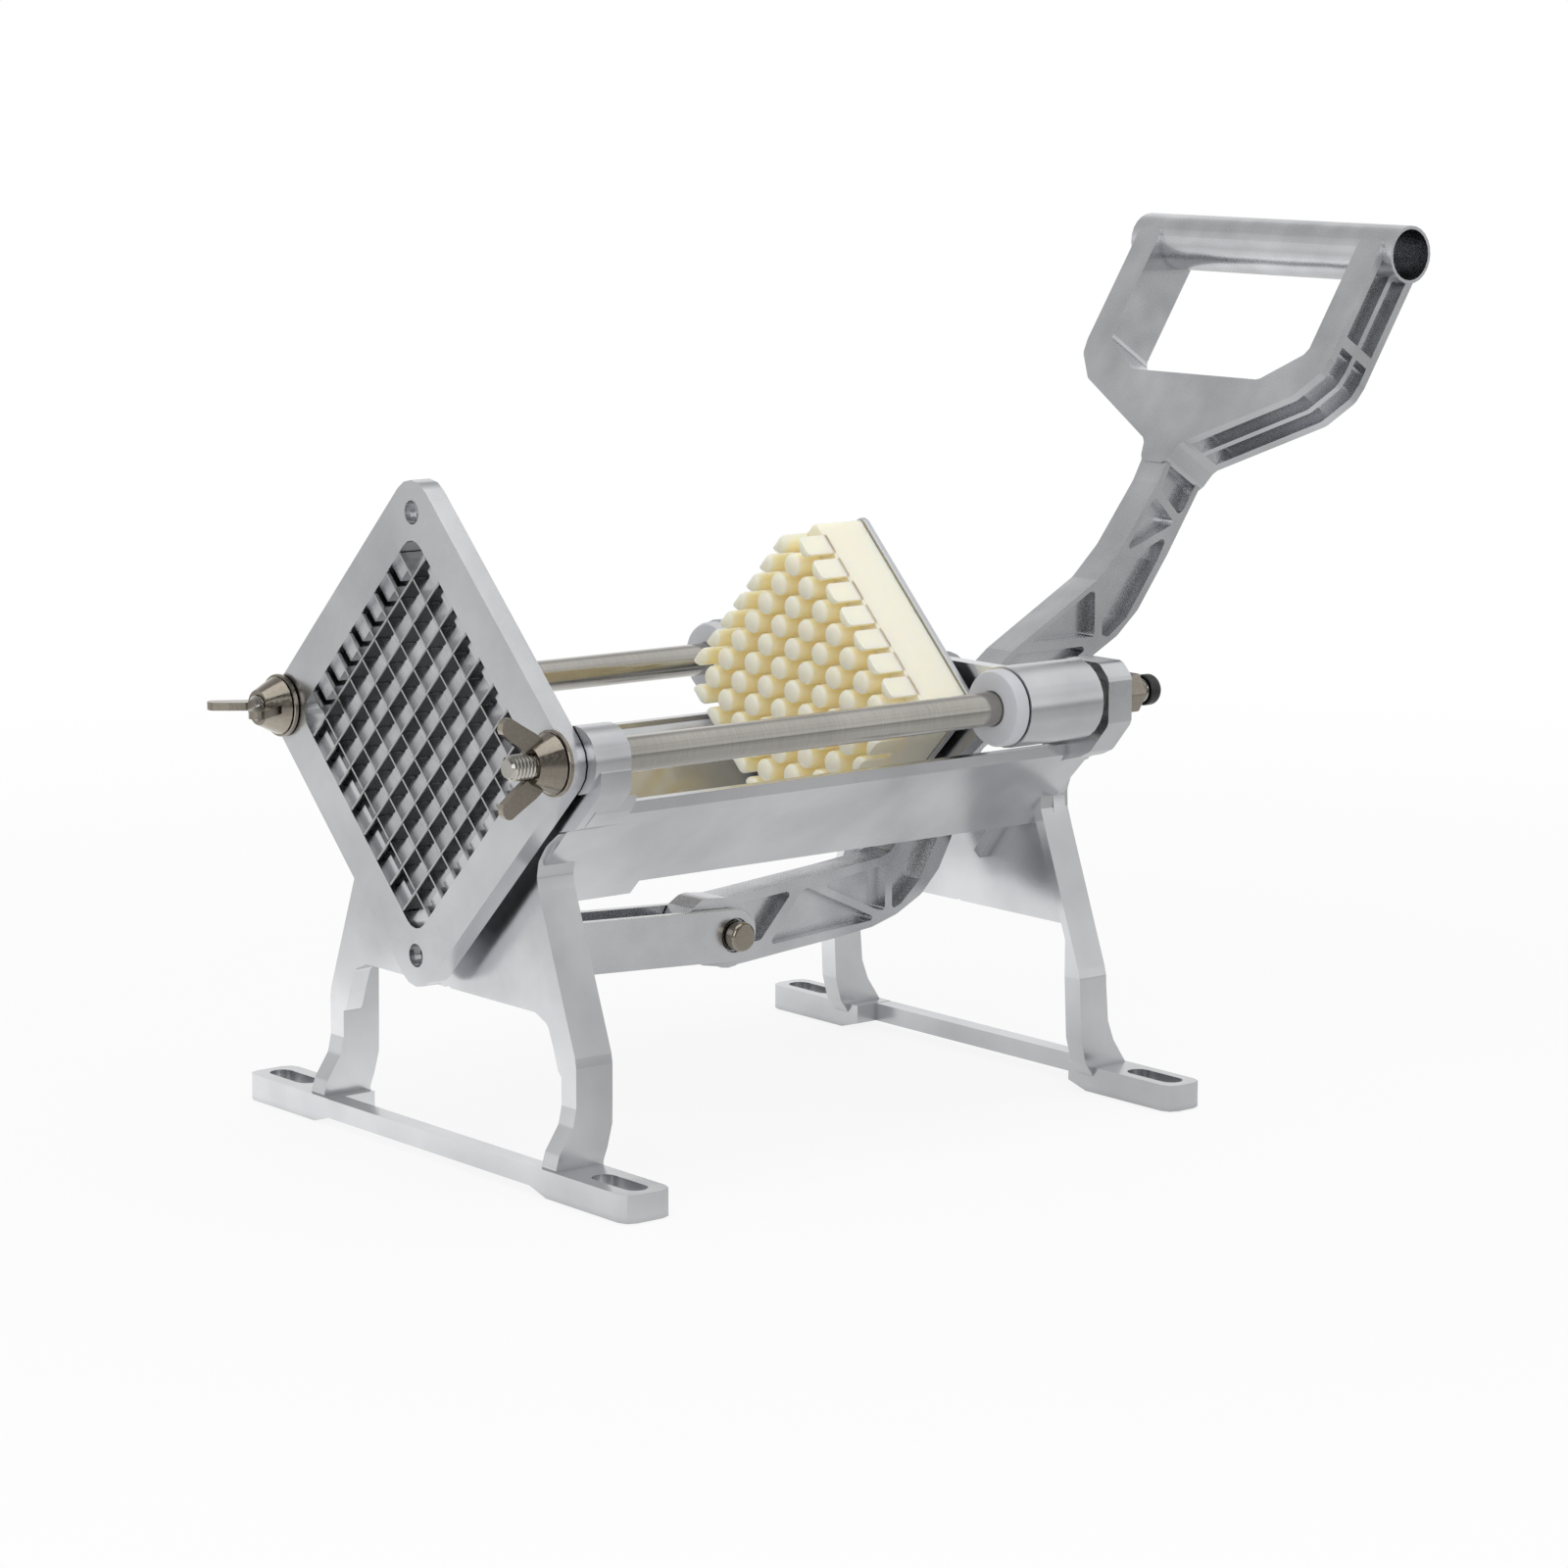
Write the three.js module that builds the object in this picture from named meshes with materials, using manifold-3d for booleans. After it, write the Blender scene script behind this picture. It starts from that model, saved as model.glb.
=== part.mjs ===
/**
 * Hand-lever cutter that pushes a vegetable through a square grid of blades and so cuts it into strips.
 *
 * Units are millimetres and +Z is up. While the pieces are made, X = 0 lies in the front lip of the blade
 * holder, +X runs back towards the handle and Y = 0 is the plane of symmetry. The last lines centre the
 * whole over the origin. "near" pieces lie on the -Y side, "far" pieces on the +Y side.
 */
import * as THREE from 'three';
import { mergeVertices } from 'three/addons/utils/BufferGeometryUtils.js';
import Module from 'manifold-3d';

const wasm = await Module();
wasm.setup();

// Driving dimensions shared by several pieces
const PITCH = 9.525;
const BLADES_EACH_WAY = 8;
const GRID_Z = 129.5;
const ROD_Z = 130.4;
const ROD_Y = 70.5;
const DIAMOND_TURN = Math.PI / 4;
const FIT = 0.08;
const FACE_GAP = 0.3;
const OVERLAP = 1;
const FINE_STEPS = 24;
const PIN_STEPS = 20;
const SCREW_STEPS = 12;
const NUT_SIDES = 6;
const CORNER_STEPS = 2;
const STRAIGHT = THREE.MathUtils.degToRad(1);
const NEAR = -1;
const FAR = 1;

// Pivots of the lever linkage as [x, z]
const CARRIAGE_PIVOT = [197, 127];
const LEVER_PIVOT = [114.5, 56];
const FRONT_PIVOT = [28, 60.5];

// Blade holder: a square flange, and behind it a collar round the opening. The lip in front of the
// blade ends is plain, and the teeth between them stand behind it.
const HOLDER = {
  front: -0.8,
  flangeBack: 6,
  back: 9.2,
  halfSide: 56.8,
  cornerRadius: 10,
  collarHalf: 48,
  collarCorner: 13.5,
  openingHalf: 43,
  openingCorner: 6,
  lip: 2.2,
  tooth: 4.6,
  notchWidth: 3.2,
  slotWidth: 1.2,
  slotDepth: 3,
  rodGap: 0.3,
  holeOffset: 66.6,
  holeRadius: 2.1,
  sinkRadius: 3.6,
  sinkDepth: 3,
};

const BLADE = { inset: 0.1, gap: 0.3, lapGap: 0.3, thickness: 0.6 };

const BLOCK = {
  front: 154.3,
  back: 172.7,
  halfSide: 38,
  cornerRadius: 2.5,
  pegRadius: 3.8,
  pegTip: 143.9,
  pegSteps: 8,
  outerRow: 4,
};

const PLATE = { thickness: 2.2, halfSide: 38.6, cornerRadius: 2.5 };

const SCREW = {
  tip: 164,
  neck: 183.7,
  top: 186.5,
  shankRadius: 2.5,
  headRadius: 4.6,
  recessRadius: 2.2,
  recessDepth: 1.4,
  y: 26,
  lowZ: 110,
  highZ: 134,
};

const CARRIAGE = {
  padFront: 175.4,
  padHalf: 25,
  plateFront: 177.8,
  plateBack: 183.5,
  plateCorner: 2.5,
  housingFront: 171.8,
  housingBack: 202,
  housingRadius: 12.75,
  housingBore: 7.5,
  lugInner: 7,
  lugOuter: 13,
  lugRadius: 12.5,
};
const CROSS_PLATE_OUTLINE = [
  [-64, 141], [-64, 119], [-52, 119], [-34, 103], [34, 103], [52, 119], [64, 119], [64, 141],
];

const BUSHING = { flange: 5, flangeRadius: 12, lead: 1.2 };

const ROD = {
  radius: 5.25,
  threadRadius: 3.9,
  front: { near: -18, far: -12 },
  frontShoulder: 12,
  rearShoulder: 216,
  rear: 232.6,
  chamfer: 0.8,
};

const WASHER = { thickness: 1.6, frontRadius: 9.7, rearRadius: 8.2 };
const REAR_NUT = { length: 7.2, radius: 7 };
const CAP = { mouth: 2, wall: 0.75, top: 3.5, dome: 3.1, endGap: 0.4 };

const WING_NUT = { length: 7, backRadius: 9, frontRadius: 5.5, wingThickness: 2.5, reach: 21 };
const WING_OUTLINE = [
  [-3.1, 5], [-8.4, 9.3], [-13, 12], [-17.5, 14.8], [-19.8, 13.8], [-20.4, 10.5], [-16, 7], [-11.7, 3.9],
  [-9, 3.7],
];

// Base casting: two stands on feet, tied by two sloping side rails. Outlines are [|y|, z].
const FRONT_STAND = { face: 11, web: 17, legBack: 24.3, bossBack: 19, bossRadius: 10, blockFront: 8 };
const REAR_STAND = { face: 221.6, web: 216.5, upperFront: 207, upperBack: 217 };
const FRONT_WEB = [
  [-OVERLAP, 51.5], [44, 51.5], [50.2, 48.8], [53, 42.1], [56.8, 31.1], [61.5, 40], [45.8, 86], [44.8, 92],
  [46, 97], [50, 102], [56, 106.5], [64, 109], [66, 128], [62, 130], [-OVERLAP, 67.5],
];
const REAR_WEB = [
  [-OVERLAP, 53.5], [57.6, 53.5], [46.2, 86], [45, 95], [47, 101], [52, 106], [58.6, 109], [60, 114],
  [52, 120], [-OVERLAP, 77],
];
const FRONT_LEG = [
  [57, 4], [64, 4], [64, 38], [63.5, 41], [46, 88], [45.2, 92], [46.2, 97], [50, 102], [56, 106.5],
  [62.4, 108.3], [68.5, 109.8], [73.5, 114.5], [77, 120], [66, 126], [58, 120], [53, 112], [45.5, 104.5],
  [41.2, 97], [41.2, 92], [56.5, 50], [56.8, 31.1],
];
const REAR_LEG = [
  [57.3, 4], [64.4, 4], [64.4, 38], [63.6, 41], [47.5, 84], [45.2, 90.5], [45, 96], [47, 101.5],
  [51.5, 105.8], [57, 108.2], [54, 113.5], [46, 108], [41, 101], [40.4, 92], [57.3, 50],
];
const REAR_UPPER = [
  [58, 141.7], [75.5, 141.7], [80.2, 137], [80.2, 122.5], [72, 113], [67.4, 110.9], [60.7, 109.2], [53, 106],
  [48.5, 101.5], [46, 96], [41, 96], [42, 103], [48, 111], [58, 120],
];
const FRONT_BLOCK = [
  [58, 107.2], [62.4, 108.3], [68, 109.5], [80.3, 121.5], [80.5, 130], [62, 130], [57, 119],
];
const STAND_CORNER = 2.5;

// Each leg seen from the side, as [x, z]: it swings out to its pad at the foot
const FRONT_SIDE = [
  [11, 150], [11, 26], [9.8, 20.5], [4.8, 13], [3.6, 9], [3.6, 4], [20.9, 4], [20.9, 9.2], [22.4, 13],
  [24.2, 20], [24.3, 28], [24.3, 150],
];
const REAR_SIDE = [
  [211.2, 150], [211.3, 38], [212.3, 18], [214.5, 10], [219, 4], [232.4, 4], [232.2, 8], [226.6, 16.2],
  [224, 23], [222.9, 36], [222.9, 150],
];

const RAIL = { front: 13, back: 218 };
const RAIL_OUTLINE = [
  [34.5, 84], [60.5, 110], [61.3, 110.8], [61.3, 114.3], [57.5, 114.3], [57.5, 112.6], [31.7, 86.8],
];
const RAIL_FRONT_DROP = { back: 57, outline: [[30, 79.5], [36, 85.5], [33.2, 88.3], [27.2, 82.3]] };
// A rib down the front of the rear web, below the end of each rail
const WEB_RIB = { front: 212.5, outline: [[28.8, 94.2], [11.8, 72.4], [14.6, 70.2], [31.6, 92]] };

const FOOT = {
  top: 8.4, inner: 52.6, rampEnd: 60.8, outer: 99.4, corner: 4,
  frontStart: 2.2, frontEnd: 19.5, rearStart: 218, rearEnd: 232.6,
};
const FOOT_SLOT = { margin: 3.4, length: 22, width: 7.6 };
const FOOT_BAR = { width: 6.3, bottom: 2.3, top: 8.3 };
const LINK_LUG = { inner: 10, outer: 15, radius: 9, rootX: 14, rootLow: 52, rootHigh: 69.5 };

// Lever: an I-section casting. Outlines are [x, z], pockets leave the flanges, the ribs and a thin web.
const LEVER = { halfWidth: 6, webHalf: 1.5, hubRadius: 12.5, bossRadius: 11, corner: 4, pocketCorner: 0.9 };
const LEVER_OUTLINE = [
  [98, 52], [103, 47.3], [113.4, 45.4], [121.1, 45.9], [137.1, 47.3], [157.5, 48.9], [174, 50.7],
  [184.5, 53.7], [195, 59], [202.5, 66.6], [207.4, 75.5], [214, 91], [220.6, 104], [226.3, 107],
  [268.2, 129.9], [281.2, 136.7],
  [290.5, 144.6], [303.9, 162.3], [318, 183], [324, 190], [306.4, 200.3], [299, 187], [282.7, 166.4],
  [271.6, 156.2], [233.6, 135.4], [224, 128.4], [205, 132], [184.5, 127], [184.5, 80], [184.2, 75.6],
  [178, 73.2], [157.6, 71.2], [113.4, 67.6], [104.8, 68.5], [98, 64.5],
];
const LEVER_POCKETS = [
  [[124, 52], [127.6, 52.4], [139.6, 65.4], [138.6, 66.6], [118, 65]],
  [[130.9, 50.2], [144.2, 66], [147, 66.8], [149.6, 65.6], [174.2, 54.2], [173.8, 52.9]],
  [[154.2, 66.2], [156, 67.7], [176.6, 70.2], [179.4, 69.8], [179.4, 55.9], [177, 55.7]],
  [
    [182.4, 55.6], [182.4, 71.6], [185.8, 74.6], [186.4, 82], [187.4, 103], [206, 109], [213.3, 101.5],
    [209.3, 92], [201.6, 76.6], [194.2, 64], [186, 56.8],
  ],
  [[216, 109], [221, 108.9], [266.4, 133], [265.6, 134.4], [235.8, 134.4], [222.6, 125.2], [213.8, 121.4]],
  [[240.8, 137.3], [270.8, 137.3], [270.8, 152.8], [268.6, 152.4]],
  [
    [274.2, 152.6], [274.2, 137.4], [277, 136.6], [285.4, 142.4], [299.2, 160.6], [303, 167], [301.6, 168],
    [284.4, 161.4], [282.6, 161.8], [276.6, 157.6],
  ],
  [[284.4, 164.6], [305.4, 172.2], [306.4, 173.8], [298.4, 182], [296.6, 181]],
  [[300.6, 184.2], [308.8, 175.8], [311, 176.8], [317.6, 186.4], [305.8, 194.6]],
];

// D-shaped handle on the end of the lever, drawn in a tilted plane as [y, distance up the handle]
const HANDLE = {
  rootX: 306.4, rootZ: 200.3, tilt: THREE.MathUtils.degToRad(57), depth: 20, corner: 3, grooveCorner: 1.5,
  grooves: [[3, 9], [11, 17]],
  gripUp: 82, gripDepth: 10, gripRadius: 9.6, gripBore: 8.5, gripHalf: 61.8, boreDepth: 30,
};
const HANDLE_OUTLINE = [
  [-6, -8], [6, -8], [8.5, 0], [49, 21], [57, 30.6], [58, 36], [58, 82], [47, 82], [47, 37.5], [30.5, 26],
  [-30.5, 26], [-47, 37.5], [-47, 82], [-58, 82], [-58, 36], [-57, 30.6], [-49, 21], [-8.5, 0],
];
const SHOULDER_GROOVE = [[10, -4], [53, 18], [62, 30], [62, 42], [53.4, 42], [52.6, 34], [46, 25.6], [12, 8]];
const ARM_GROOVE = [[53.4, 46], [62, 46], [62, 76], [53.4, 76]];

const LINK = { inner: 6.5, outer: 9.5, halfHeight: 8.25, sinkRadius: 5.4, sinkDepth: 1 };
const SPACER = { radius: 7, half: 6.2 };
const PIN = { radius: 4, headRadius: 6, headLength: 2.6, tail: 3.6, grooveRadius: 3.1 };
const CLIP = { radius: 6.4, thickness: 1, mouth: 2.4, play: 0.1 };
const LINK_PIN = { radius: 4.7, nearEnd: 14.2, farEnd: 13, half: 6.2, chamfer: 0.8 };

const FINISHES = {
  casting: { color: 0xc4c5c6, roughness: 0.45, metalness: 0.9 },
  plate: { color: 0xcfd0d1, roughness: 0.35, metalness: 0.95 },
  bladeSteel: { color: 0x9a9ca0, roughness: 0.3, metalness: 1 },
  polishedSteel: { color: 0xd8d9dc, roughness: 0.12, metalness: 1 },
  nickel: { color: 0xcfc8bb, roughness: 0.2, metalness: 1 },
  ivoryPlastic: { color: 0xefe9d2, roughness: 0.4, metalness: 0 },
  whiteNylon: { color: 0xf2f2ef, roughness: 0.45, metalness: 0 },
  blackRubber: { color: 0x141414, roughness: 0.5, metalness: 0 },
};

const X_AXIS = new THREE.Vector3(1, 0, 0);
const Y_AXIS = new THREE.Vector3(0, 1, 0);
const Z_AXIS = new THREE.Vector3(0, 0, 1);

/** Turns a closed three.js geometry into a solid, with its faces wound outwards. */
function solid(geometry) {
  const bare = geometry.clone();
  bare.deleteAttribute('normal');
  bare.deleteAttribute('uv');
  const merged = mergeVertices(bare);
  const corners = [];
  for (let i = 0; i < merged.index.count; i += 3) {
    const face = [0, 1, 2].map((k) => merged.index.getX(i + k));
    if (new Set(face).size === face.length) corners.push(...face);
  }
  const body = solidFrom(merged.attributes.position.array, corners);
  return body.volume() > 0 ? body : solidFrom(merged.attributes.position.array, corners.reverse());
}

function solidFrom(places, corners) {
  const mesh = new wasm.Mesh({
    numProp: 3,
    vertProperties: Float32Array.from(places),
    triVerts: Uint32Array.from(corners),
  });
  return new wasm.Manifold(mesh);
}

function joined(bodies) {
  return bodies.reduce((whole, body) => whole.add(body));
}

function cut(body, tools) {
  return tools.reduce((rest, tool) => rest.subtract(tool), body);
}

/** The same solid on the other side of the plane of symmetry. */
function mirrored(body) {
  const mesh = body.getMesh();
  const places = Array.from(mesh.vertProperties, (value, i) => (i % 3 === 1 ? -value : value));
  return solidFrom(places, Array.from(mesh.triVerts).reverse());
}

function path(points) {
  return points.map(([a, b]) => new THREE.Vector2(a, b));
}

/** Extrudes an outline drawn on the first two vectors of a basis along the third one. */
function prism(outline, basis, from, to, holes = []) {
  const shape = new THREE.Shape(path(outline));
  shape.holes = holes.map((hole) => new THREE.Path(path(hole)));
  const geometry = new THREE.ExtrudeGeometry(shape, { depth: to - from, bevelEnabled: false });
  geometry.translate(0, 0, from);
  geometry.applyMatrix4(new THREE.Matrix4().makeBasis(...basis));
  return solid(geometry);
}

/** Outline of [y, z] points, from one X to another. */
function prismX(outline, from, to, holes) {
  return prism(outline, [Y_AXIS, Z_AXIS, X_AXIS], from, to, holes);
}

/** Outline of [x, z] points, from one Y to another. */
function prismY(outline, from, to) {
  return prism(outline, [X_AXIS, Z_AXIS, Y_AXIS.clone().negate()], -to, -from);
}

/** Outline of [x, y] points, from one Z to another. */
function prismZ(outline, from, to) {
  return prism(outline, [X_AXIS, Y_AXIS, Z_AXIS], from, to);
}

function circle(a, b, radius, steps = FINE_STEPS) {
  return Array.from({ length: steps }, (_, i) => {
    const angle = (2 * Math.PI * i) / steps;
    return [a + radius * Math.cos(angle), b + radius * Math.sin(angle)];
  });
}

function rectangle(a0, a1, b0, b1) {
  return [[a0, b0], [a1, b0], [a1, b1], [a0, b1]];
}

function square(half) {
  return rectangle(-half, half, -half, half);
}

/** Replaces each corner of an outline by an arc that touches both of its sides. */
function rounded(outline, radius, steps = CORNER_STEPS) {
  const points = path(outline);
  return points.flatMap((corner, i) => {
    const back = points.at(i - 1).clone().sub(corner);
    const on = points[(i + 1) % points.length].clone().sub(corner);
    const half = Math.abs(back.angleTo(on)) / 2;
    if (Math.PI / 2 - half < STRAIGHT) return [corner.toArray()];
    const reach = Math.min(radius / Math.tan(half), back.length() / 2, on.length() / 2);
    const start = corner.clone().add(back.setLength(reach));
    const end = corner.clone().add(on.setLength(reach));
    const turn = Math.max(1, Math.round((steps * (Math.PI - 2 * half)) / (Math.PI / 2)));
    return arcBetween(start, corner, end, turn);
  });
}

/** Points of the arc that leaves start towards corner and arrives at end from corner. */
function arcBetween(start, corner, end, steps) {
  const middle = start.clone().add(end).multiplyScalar(1 / 2);
  const height = corner.distanceTo(middle);
  const chord = start.distanceTo(end) / 2;
  const bend = chord / height;
  const centre = middle.clone().add(middle.clone().sub(corner).setLength(chord * bend));
  const spoke = start.clone().sub(centre);
  const sweep = Math.atan2(spoke.cross(end.clone().sub(centre)), spoke.dot(end.clone().sub(centre)));
  return Array.from({ length: steps + 1 }, (_, i) => {
    const spot = start.clone().rotateAround(centre, (sweep * i) / steps);
    return [spot.x, spot.y];
  });
}

/** Turns an outline about its origin. */
function turned(outline, angle) {
  const origin = new THREE.Vector2();
  return path(outline).map((point) => point.rotateAround(origin, angle).toArray());
}

function cylinderX(y, z, radius, from, to, steps) {
  return prismX(circle(y, z, radius, steps), from, to);
}

function cylinderY([x, z], radius, from, to, steps = PIN_STEPS) {
  return prismY(circle(x, z, radius, steps), from, to);
}

/** Solid of revolution about an axis along X, from a profile of [radius, x] points. */
function latheX(profile, steps = FINE_STEPS) {
  const geometry = new THREE.LatheGeometry(path(profile), steps);
  geometry.rotateZ(-Math.PI / 2);
  return solid(geometry);
}

/** Solid of revolution about an axis along Y through an [x, z] point, from [radius, y] points. */
function latheY([x, z], profile) {
  const geometry = new THREE.LatheGeometry(path(profile), PIN_STEPS);
  geometry.translate(x, 0, z);
  return solid(geometry);
}

function meshOf(name, body, finish) {
  const raw = body.getMesh();
  const geometry = new THREE.BufferGeometry();
  const places = Float32Array.from(raw.vertProperties);
  geometry.setAttribute('position', new THREE.BufferAttribute(places, 3));
  geometry.setIndex(new THREE.BufferAttribute(Uint32Array.from(raw.triVerts), 1));
  geometry.computeVertexNormals();
  const mesh = new THREE.Mesh(geometry, new THREE.MeshStandardMaterial(FINISHES[finish]));
  mesh.name = name;
  return mesh;
}

/** Position of each blade across the grid, counted from its middle. */
function bladeOffsets() {
  return Array.from({ length: BLADES_EACH_WAY }, (_, i) => (i - (BLADES_EACH_WAY - 1) / 2) * PITCH);
}

/** The four sides of the square opening, each made from the side that faces +Y. */
function onEachSide(body) {
  return [0, 1, 2, 3].map((quarter) => body.rotate([quarter * 90, 0, 0]));
}

/** Teeth and blade slots on one side of the opening. */
function combSide() {
  const { front, back, openingHalf, lip, tooth, notchWidth, slotWidth, slotDepth } = HOLDER;
  const places = bladeOffsets();
  const teeth = places.slice(1).map((at) => {
    const outline = rectangle(
      openingHalf - tooth, openingHalf + OVERLAP, at - PITCH + notchWidth / 2, at - notchWidth / 2,
    );
    return prismX(outline, front + lip, back);
  });
  const slots = places.map((at) => {
    const outline = rectangle(
      openingHalf - OVERLAP, openingHalf + slotDepth, at - slotWidth / 2, at + slotWidth / 2,
    );
    return prismX(outline, front + lip, back + OVERLAP);
  });
  return [joined(teeth), joined(slots)];
}

/** Square frame of the blades, drawn square and turned onto its corner by the group that holds it. */
function bladeHolder() {
  const { front, flangeBack, back, halfSide, cornerRadius, collarHalf, collarCorner } = HOLDER;
  const { openingHalf, openingCorner, lip, holeOffset } = HOLDER;
  const roundSteps = 2 * CORNER_STEPS;
  const flange = prismX(rounded(square(halfSide), cornerRadius, roundSteps), front, flangeBack);
  const collar = prismX(rounded(square(collarHalf), collarCorner, roundSteps), front + lip, back);
  const opening = rounded(square(openingHalf), openingCorner, roundSteps);
  const frame = cut(joined([flange, collar]), [prismX(opening, front - OVERLAP, back + OVERLAP)]);
  const [teeth, slots] = combSide();
  const tools = onEachSide(slots);
  for (const side of [NEAR, FAR]) {
    const [y, z] = turned([[0, side * holeOffset]], -DIAMOND_TURN)[0];
    tools.push(cylinderX(y, z, HOLDER.holeRadius, front - OVERLAP, back + OVERLAP, PIN_STEPS));
    tools.push(cylinderX(y, z, HOLDER.sinkRadius, front - OVERLAP, front + HOLDER.sinkDepth, PIN_STEPS));
    const [rodY, rodZ] = turned([[side * ROD_Y, ROD_Z - GRID_Z]], -DIAMOND_TURN)[0];
    const rodHole = ROD.threadRadius + HOLDER.rodGap;
    tools.push(cylinderX(rodY, rodZ, rodHole, front - OVERLAP, flangeBack + OVERLAP, FINE_STEPS));
  }
  return meshOf('blade_holder', cut(joined([frame, ...onEachSide(teeth)]), tools), 'casting');
}

/**
 * Blade outline in [x, along]: full depth inside the opening, a tab behind the lip at each end, and
 * half-depth slots where the other blades cross it.
 */
function bladeOutline(slotsAtBack) {
  const front = HOLDER.front + BLADE.inset;
  const back = HOLDER.back - BLADE.gap;
  const tabFront = HOLDER.front + HOLDER.lip + BLADE.gap;
  const clear = HOLDER.openingHalf - BLADE.gap;
  const reach = HOLDER.openingHalf + HOLDER.slotDepth - BLADE.gap;
  const lap = ((slotsAtBack ? -1 : 1) * BLADE.lapGap) / 2;
  const floor = (front + back) / 2 + lap;
  const edge = slotsAtBack ? back : front;
  const half = HOLDER.slotWidth / 2;
  const notches = bladeOffsets().flatMap((at) => [
    [edge, at - half], [floor, at - half], [floor, at + half], [edge, at + half],
  ]);
  return [
    [tabFront, -reach], [tabFront, -clear], [front, -clear],
    ...(slotsAtBack ? [] : notches),
    [front, clear], [tabFront, clear], [tabFront, reach], [back, reach],
    ...(slotsAtBack ? notches.reverse() : []),
    [back, -reach],
  ];
}

function blades() {
  const half = BLADE.thickness / 2;
  return bladeOffsets().flatMap((at, i) => [
    meshOf(`blade_a${i + 1}`, prismY(bladeOutline(true), at - half, at + half), 'bladeSteel'),
    meshOf(`blade_b${i + 1}`, prismZ(bladeOutline(false), at - half, at + half), 'bladeSteel'),
  ]);
}

/** Screw positions across the pusher, as [y, z] in the turned group's own axes. */
function screwSpots() {
  return [NEAR, FAR].flatMap((side) => [SCREW.lowZ, SCREW.highZ].map((z) => [side * SCREW.y, z]));
}

function turnedScrewBores(from, to) {
  const spots = turned(screwSpots().map(([y, z]) => [y, z - GRID_Z]), -DIAMOND_TURN);
  return spots.map(([y, z]) => cylinderX(y, z, SCREW.shankRadius + FACE_GAP, from, to, SCREW_STEPS));
}

function pusherBlock() {
  const { front, back, halfSide, cornerRadius, outerRow } = BLOCK;
  const peg = cylinderX(0, 0, BLOCK.pegRadius, BLOCK.pegTip, front + OVERLAP, BLOCK.pegSteps);
  const pegs = [];
  for (let i = -outerRow; i <= outerRow; i += 1) {
    for (let j = -outerRow; j <= outerRow; j += 1) {
      const corner = Math.abs(i) === outerRow && Math.abs(j) === outerRow;
      if (!corner) pegs.push(peg.translate([0, i * PITCH, j * PITCH]));
    }
  }
  const flush = prismX(square(halfSide), BLOCK.pegTip - OVERLAP, back);
  const body = prismX(rounded(square(halfSide), cornerRadius), front, back);
  const whole = joined([body, joined(pegs).intersect(flush)]);
  const bored = cut(whole, turnedScrewBores(SCREW.tip - OVERLAP, back + OVERLAP));
  return meshOf('pusher_block', bored, 'ivoryPlastic');
}

function pusherPlate() {
  const front = CARRIAGE.padFront - FACE_GAP - PLATE.thickness;
  const back = CARRIAGE.padFront - FACE_GAP;
  const plate = prismX(rounded(square(PLATE.halfSide), PLATE.cornerRadius), front, back);
  return meshOf('pusher_plate', cut(plate, turnedScrewBores(front - OVERLAP, back + OVERLAP)), 'plate');
}

function pusherScrews() {
  return screwSpots().map(([y, z], i) => {
    const shank = cylinderX(y, z, SCREW.shankRadius, SCREW.tip, SCREW.neck + OVERLAP, SCREW_STEPS);
    const head = cylinderX(y, z, SCREW.headRadius, SCREW.neck, SCREW.top, SCREW_STEPS);
    const socket = circle(y, z, SCREW.recessRadius, NUT_SIDES);
    const recess = prismX(socket, SCREW.top - SCREW.recessDepth, SCREW.top + OVERLAP);
    return meshOf(`pusher_screw_${i + 1}`, cut(joined([shank, head]), [recess]), 'polishedSteel');
  });
}

/** An outline of the turned blade grid, brought to its place in the stands' own axes. */
function onGrid(outline) {
  return turned(outline, DIAMOND_TURN).map(([y, z]) => [y, z + GRID_Z]);
}

function carriage() {
  const { padFront, padHalf, plateFront, plateBack, housingFront, housingBack } = CARRIAGE;
  const { housingBore, lugInner, lugOuter, lugRadius } = CARRIAGE;
  const pieces = [
    prismX(rounded(CROSS_PLATE_OUTLINE, CARRIAGE.plateCorner), plateFront, plateBack),
    prismX(onGrid(rounded(square(padHalf), BLOCK.cornerRadius)), padFront, plateFront + OVERLAP),
  ];
  const tools = [];
  const [pivotX, pivotZ] = CARRIAGE_PIVOT;
  const lugRoot = rectangle(plateFront + OVERLAP, pivotX, pivotZ - lugRadius, pivotZ + lugRadius);
  for (const side of [NEAR, FAR]) {
    const rodY = side * ROD_Y;
    pieces.push(cylinderX(rodY, ROD_Z, CARRIAGE.housingRadius, housingFront, housingBack));
    tools.push(cylinderX(rodY, ROD_Z, housingBore + FIT, housingFront - OVERLAP, housingBack + OVERLAP));
    const [low, high] = [side * lugInner, side * lugOuter].sort((a, b) => a - b);
    pieces.push(prismY(lugRoot, low, high));
    pieces.push(cylinderY(CARRIAGE_PIVOT, lugRadius, low, high, FINE_STEPS));
  }
  tools.push(cylinderY(CARRIAGE_PIVOT, PIN.radius + FIT, -lugOuter - OVERLAP, lugOuter + OVERLAP));
  const screwBore = SCREW.shankRadius + FACE_GAP;
  for (const [y, z] of screwSpots()) {
    tools.push(cylinderX(y, z, screwBore, padFront - OVERLAP, plateBack + OVERLAP, SCREW_STEPS));
  }
  return meshOf('carriage_casting', cut(joined(pieces), tools), 'casting');
}

/** A body of revolution on a rod's axis, placed by its mesh. */
function onRod(name, body, side, finish) {
  const mesh = meshOf(name, body, finish);
  mesh.position.set(0, side * ROD_Y, ROD_Z);
  return mesh;
}

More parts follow.
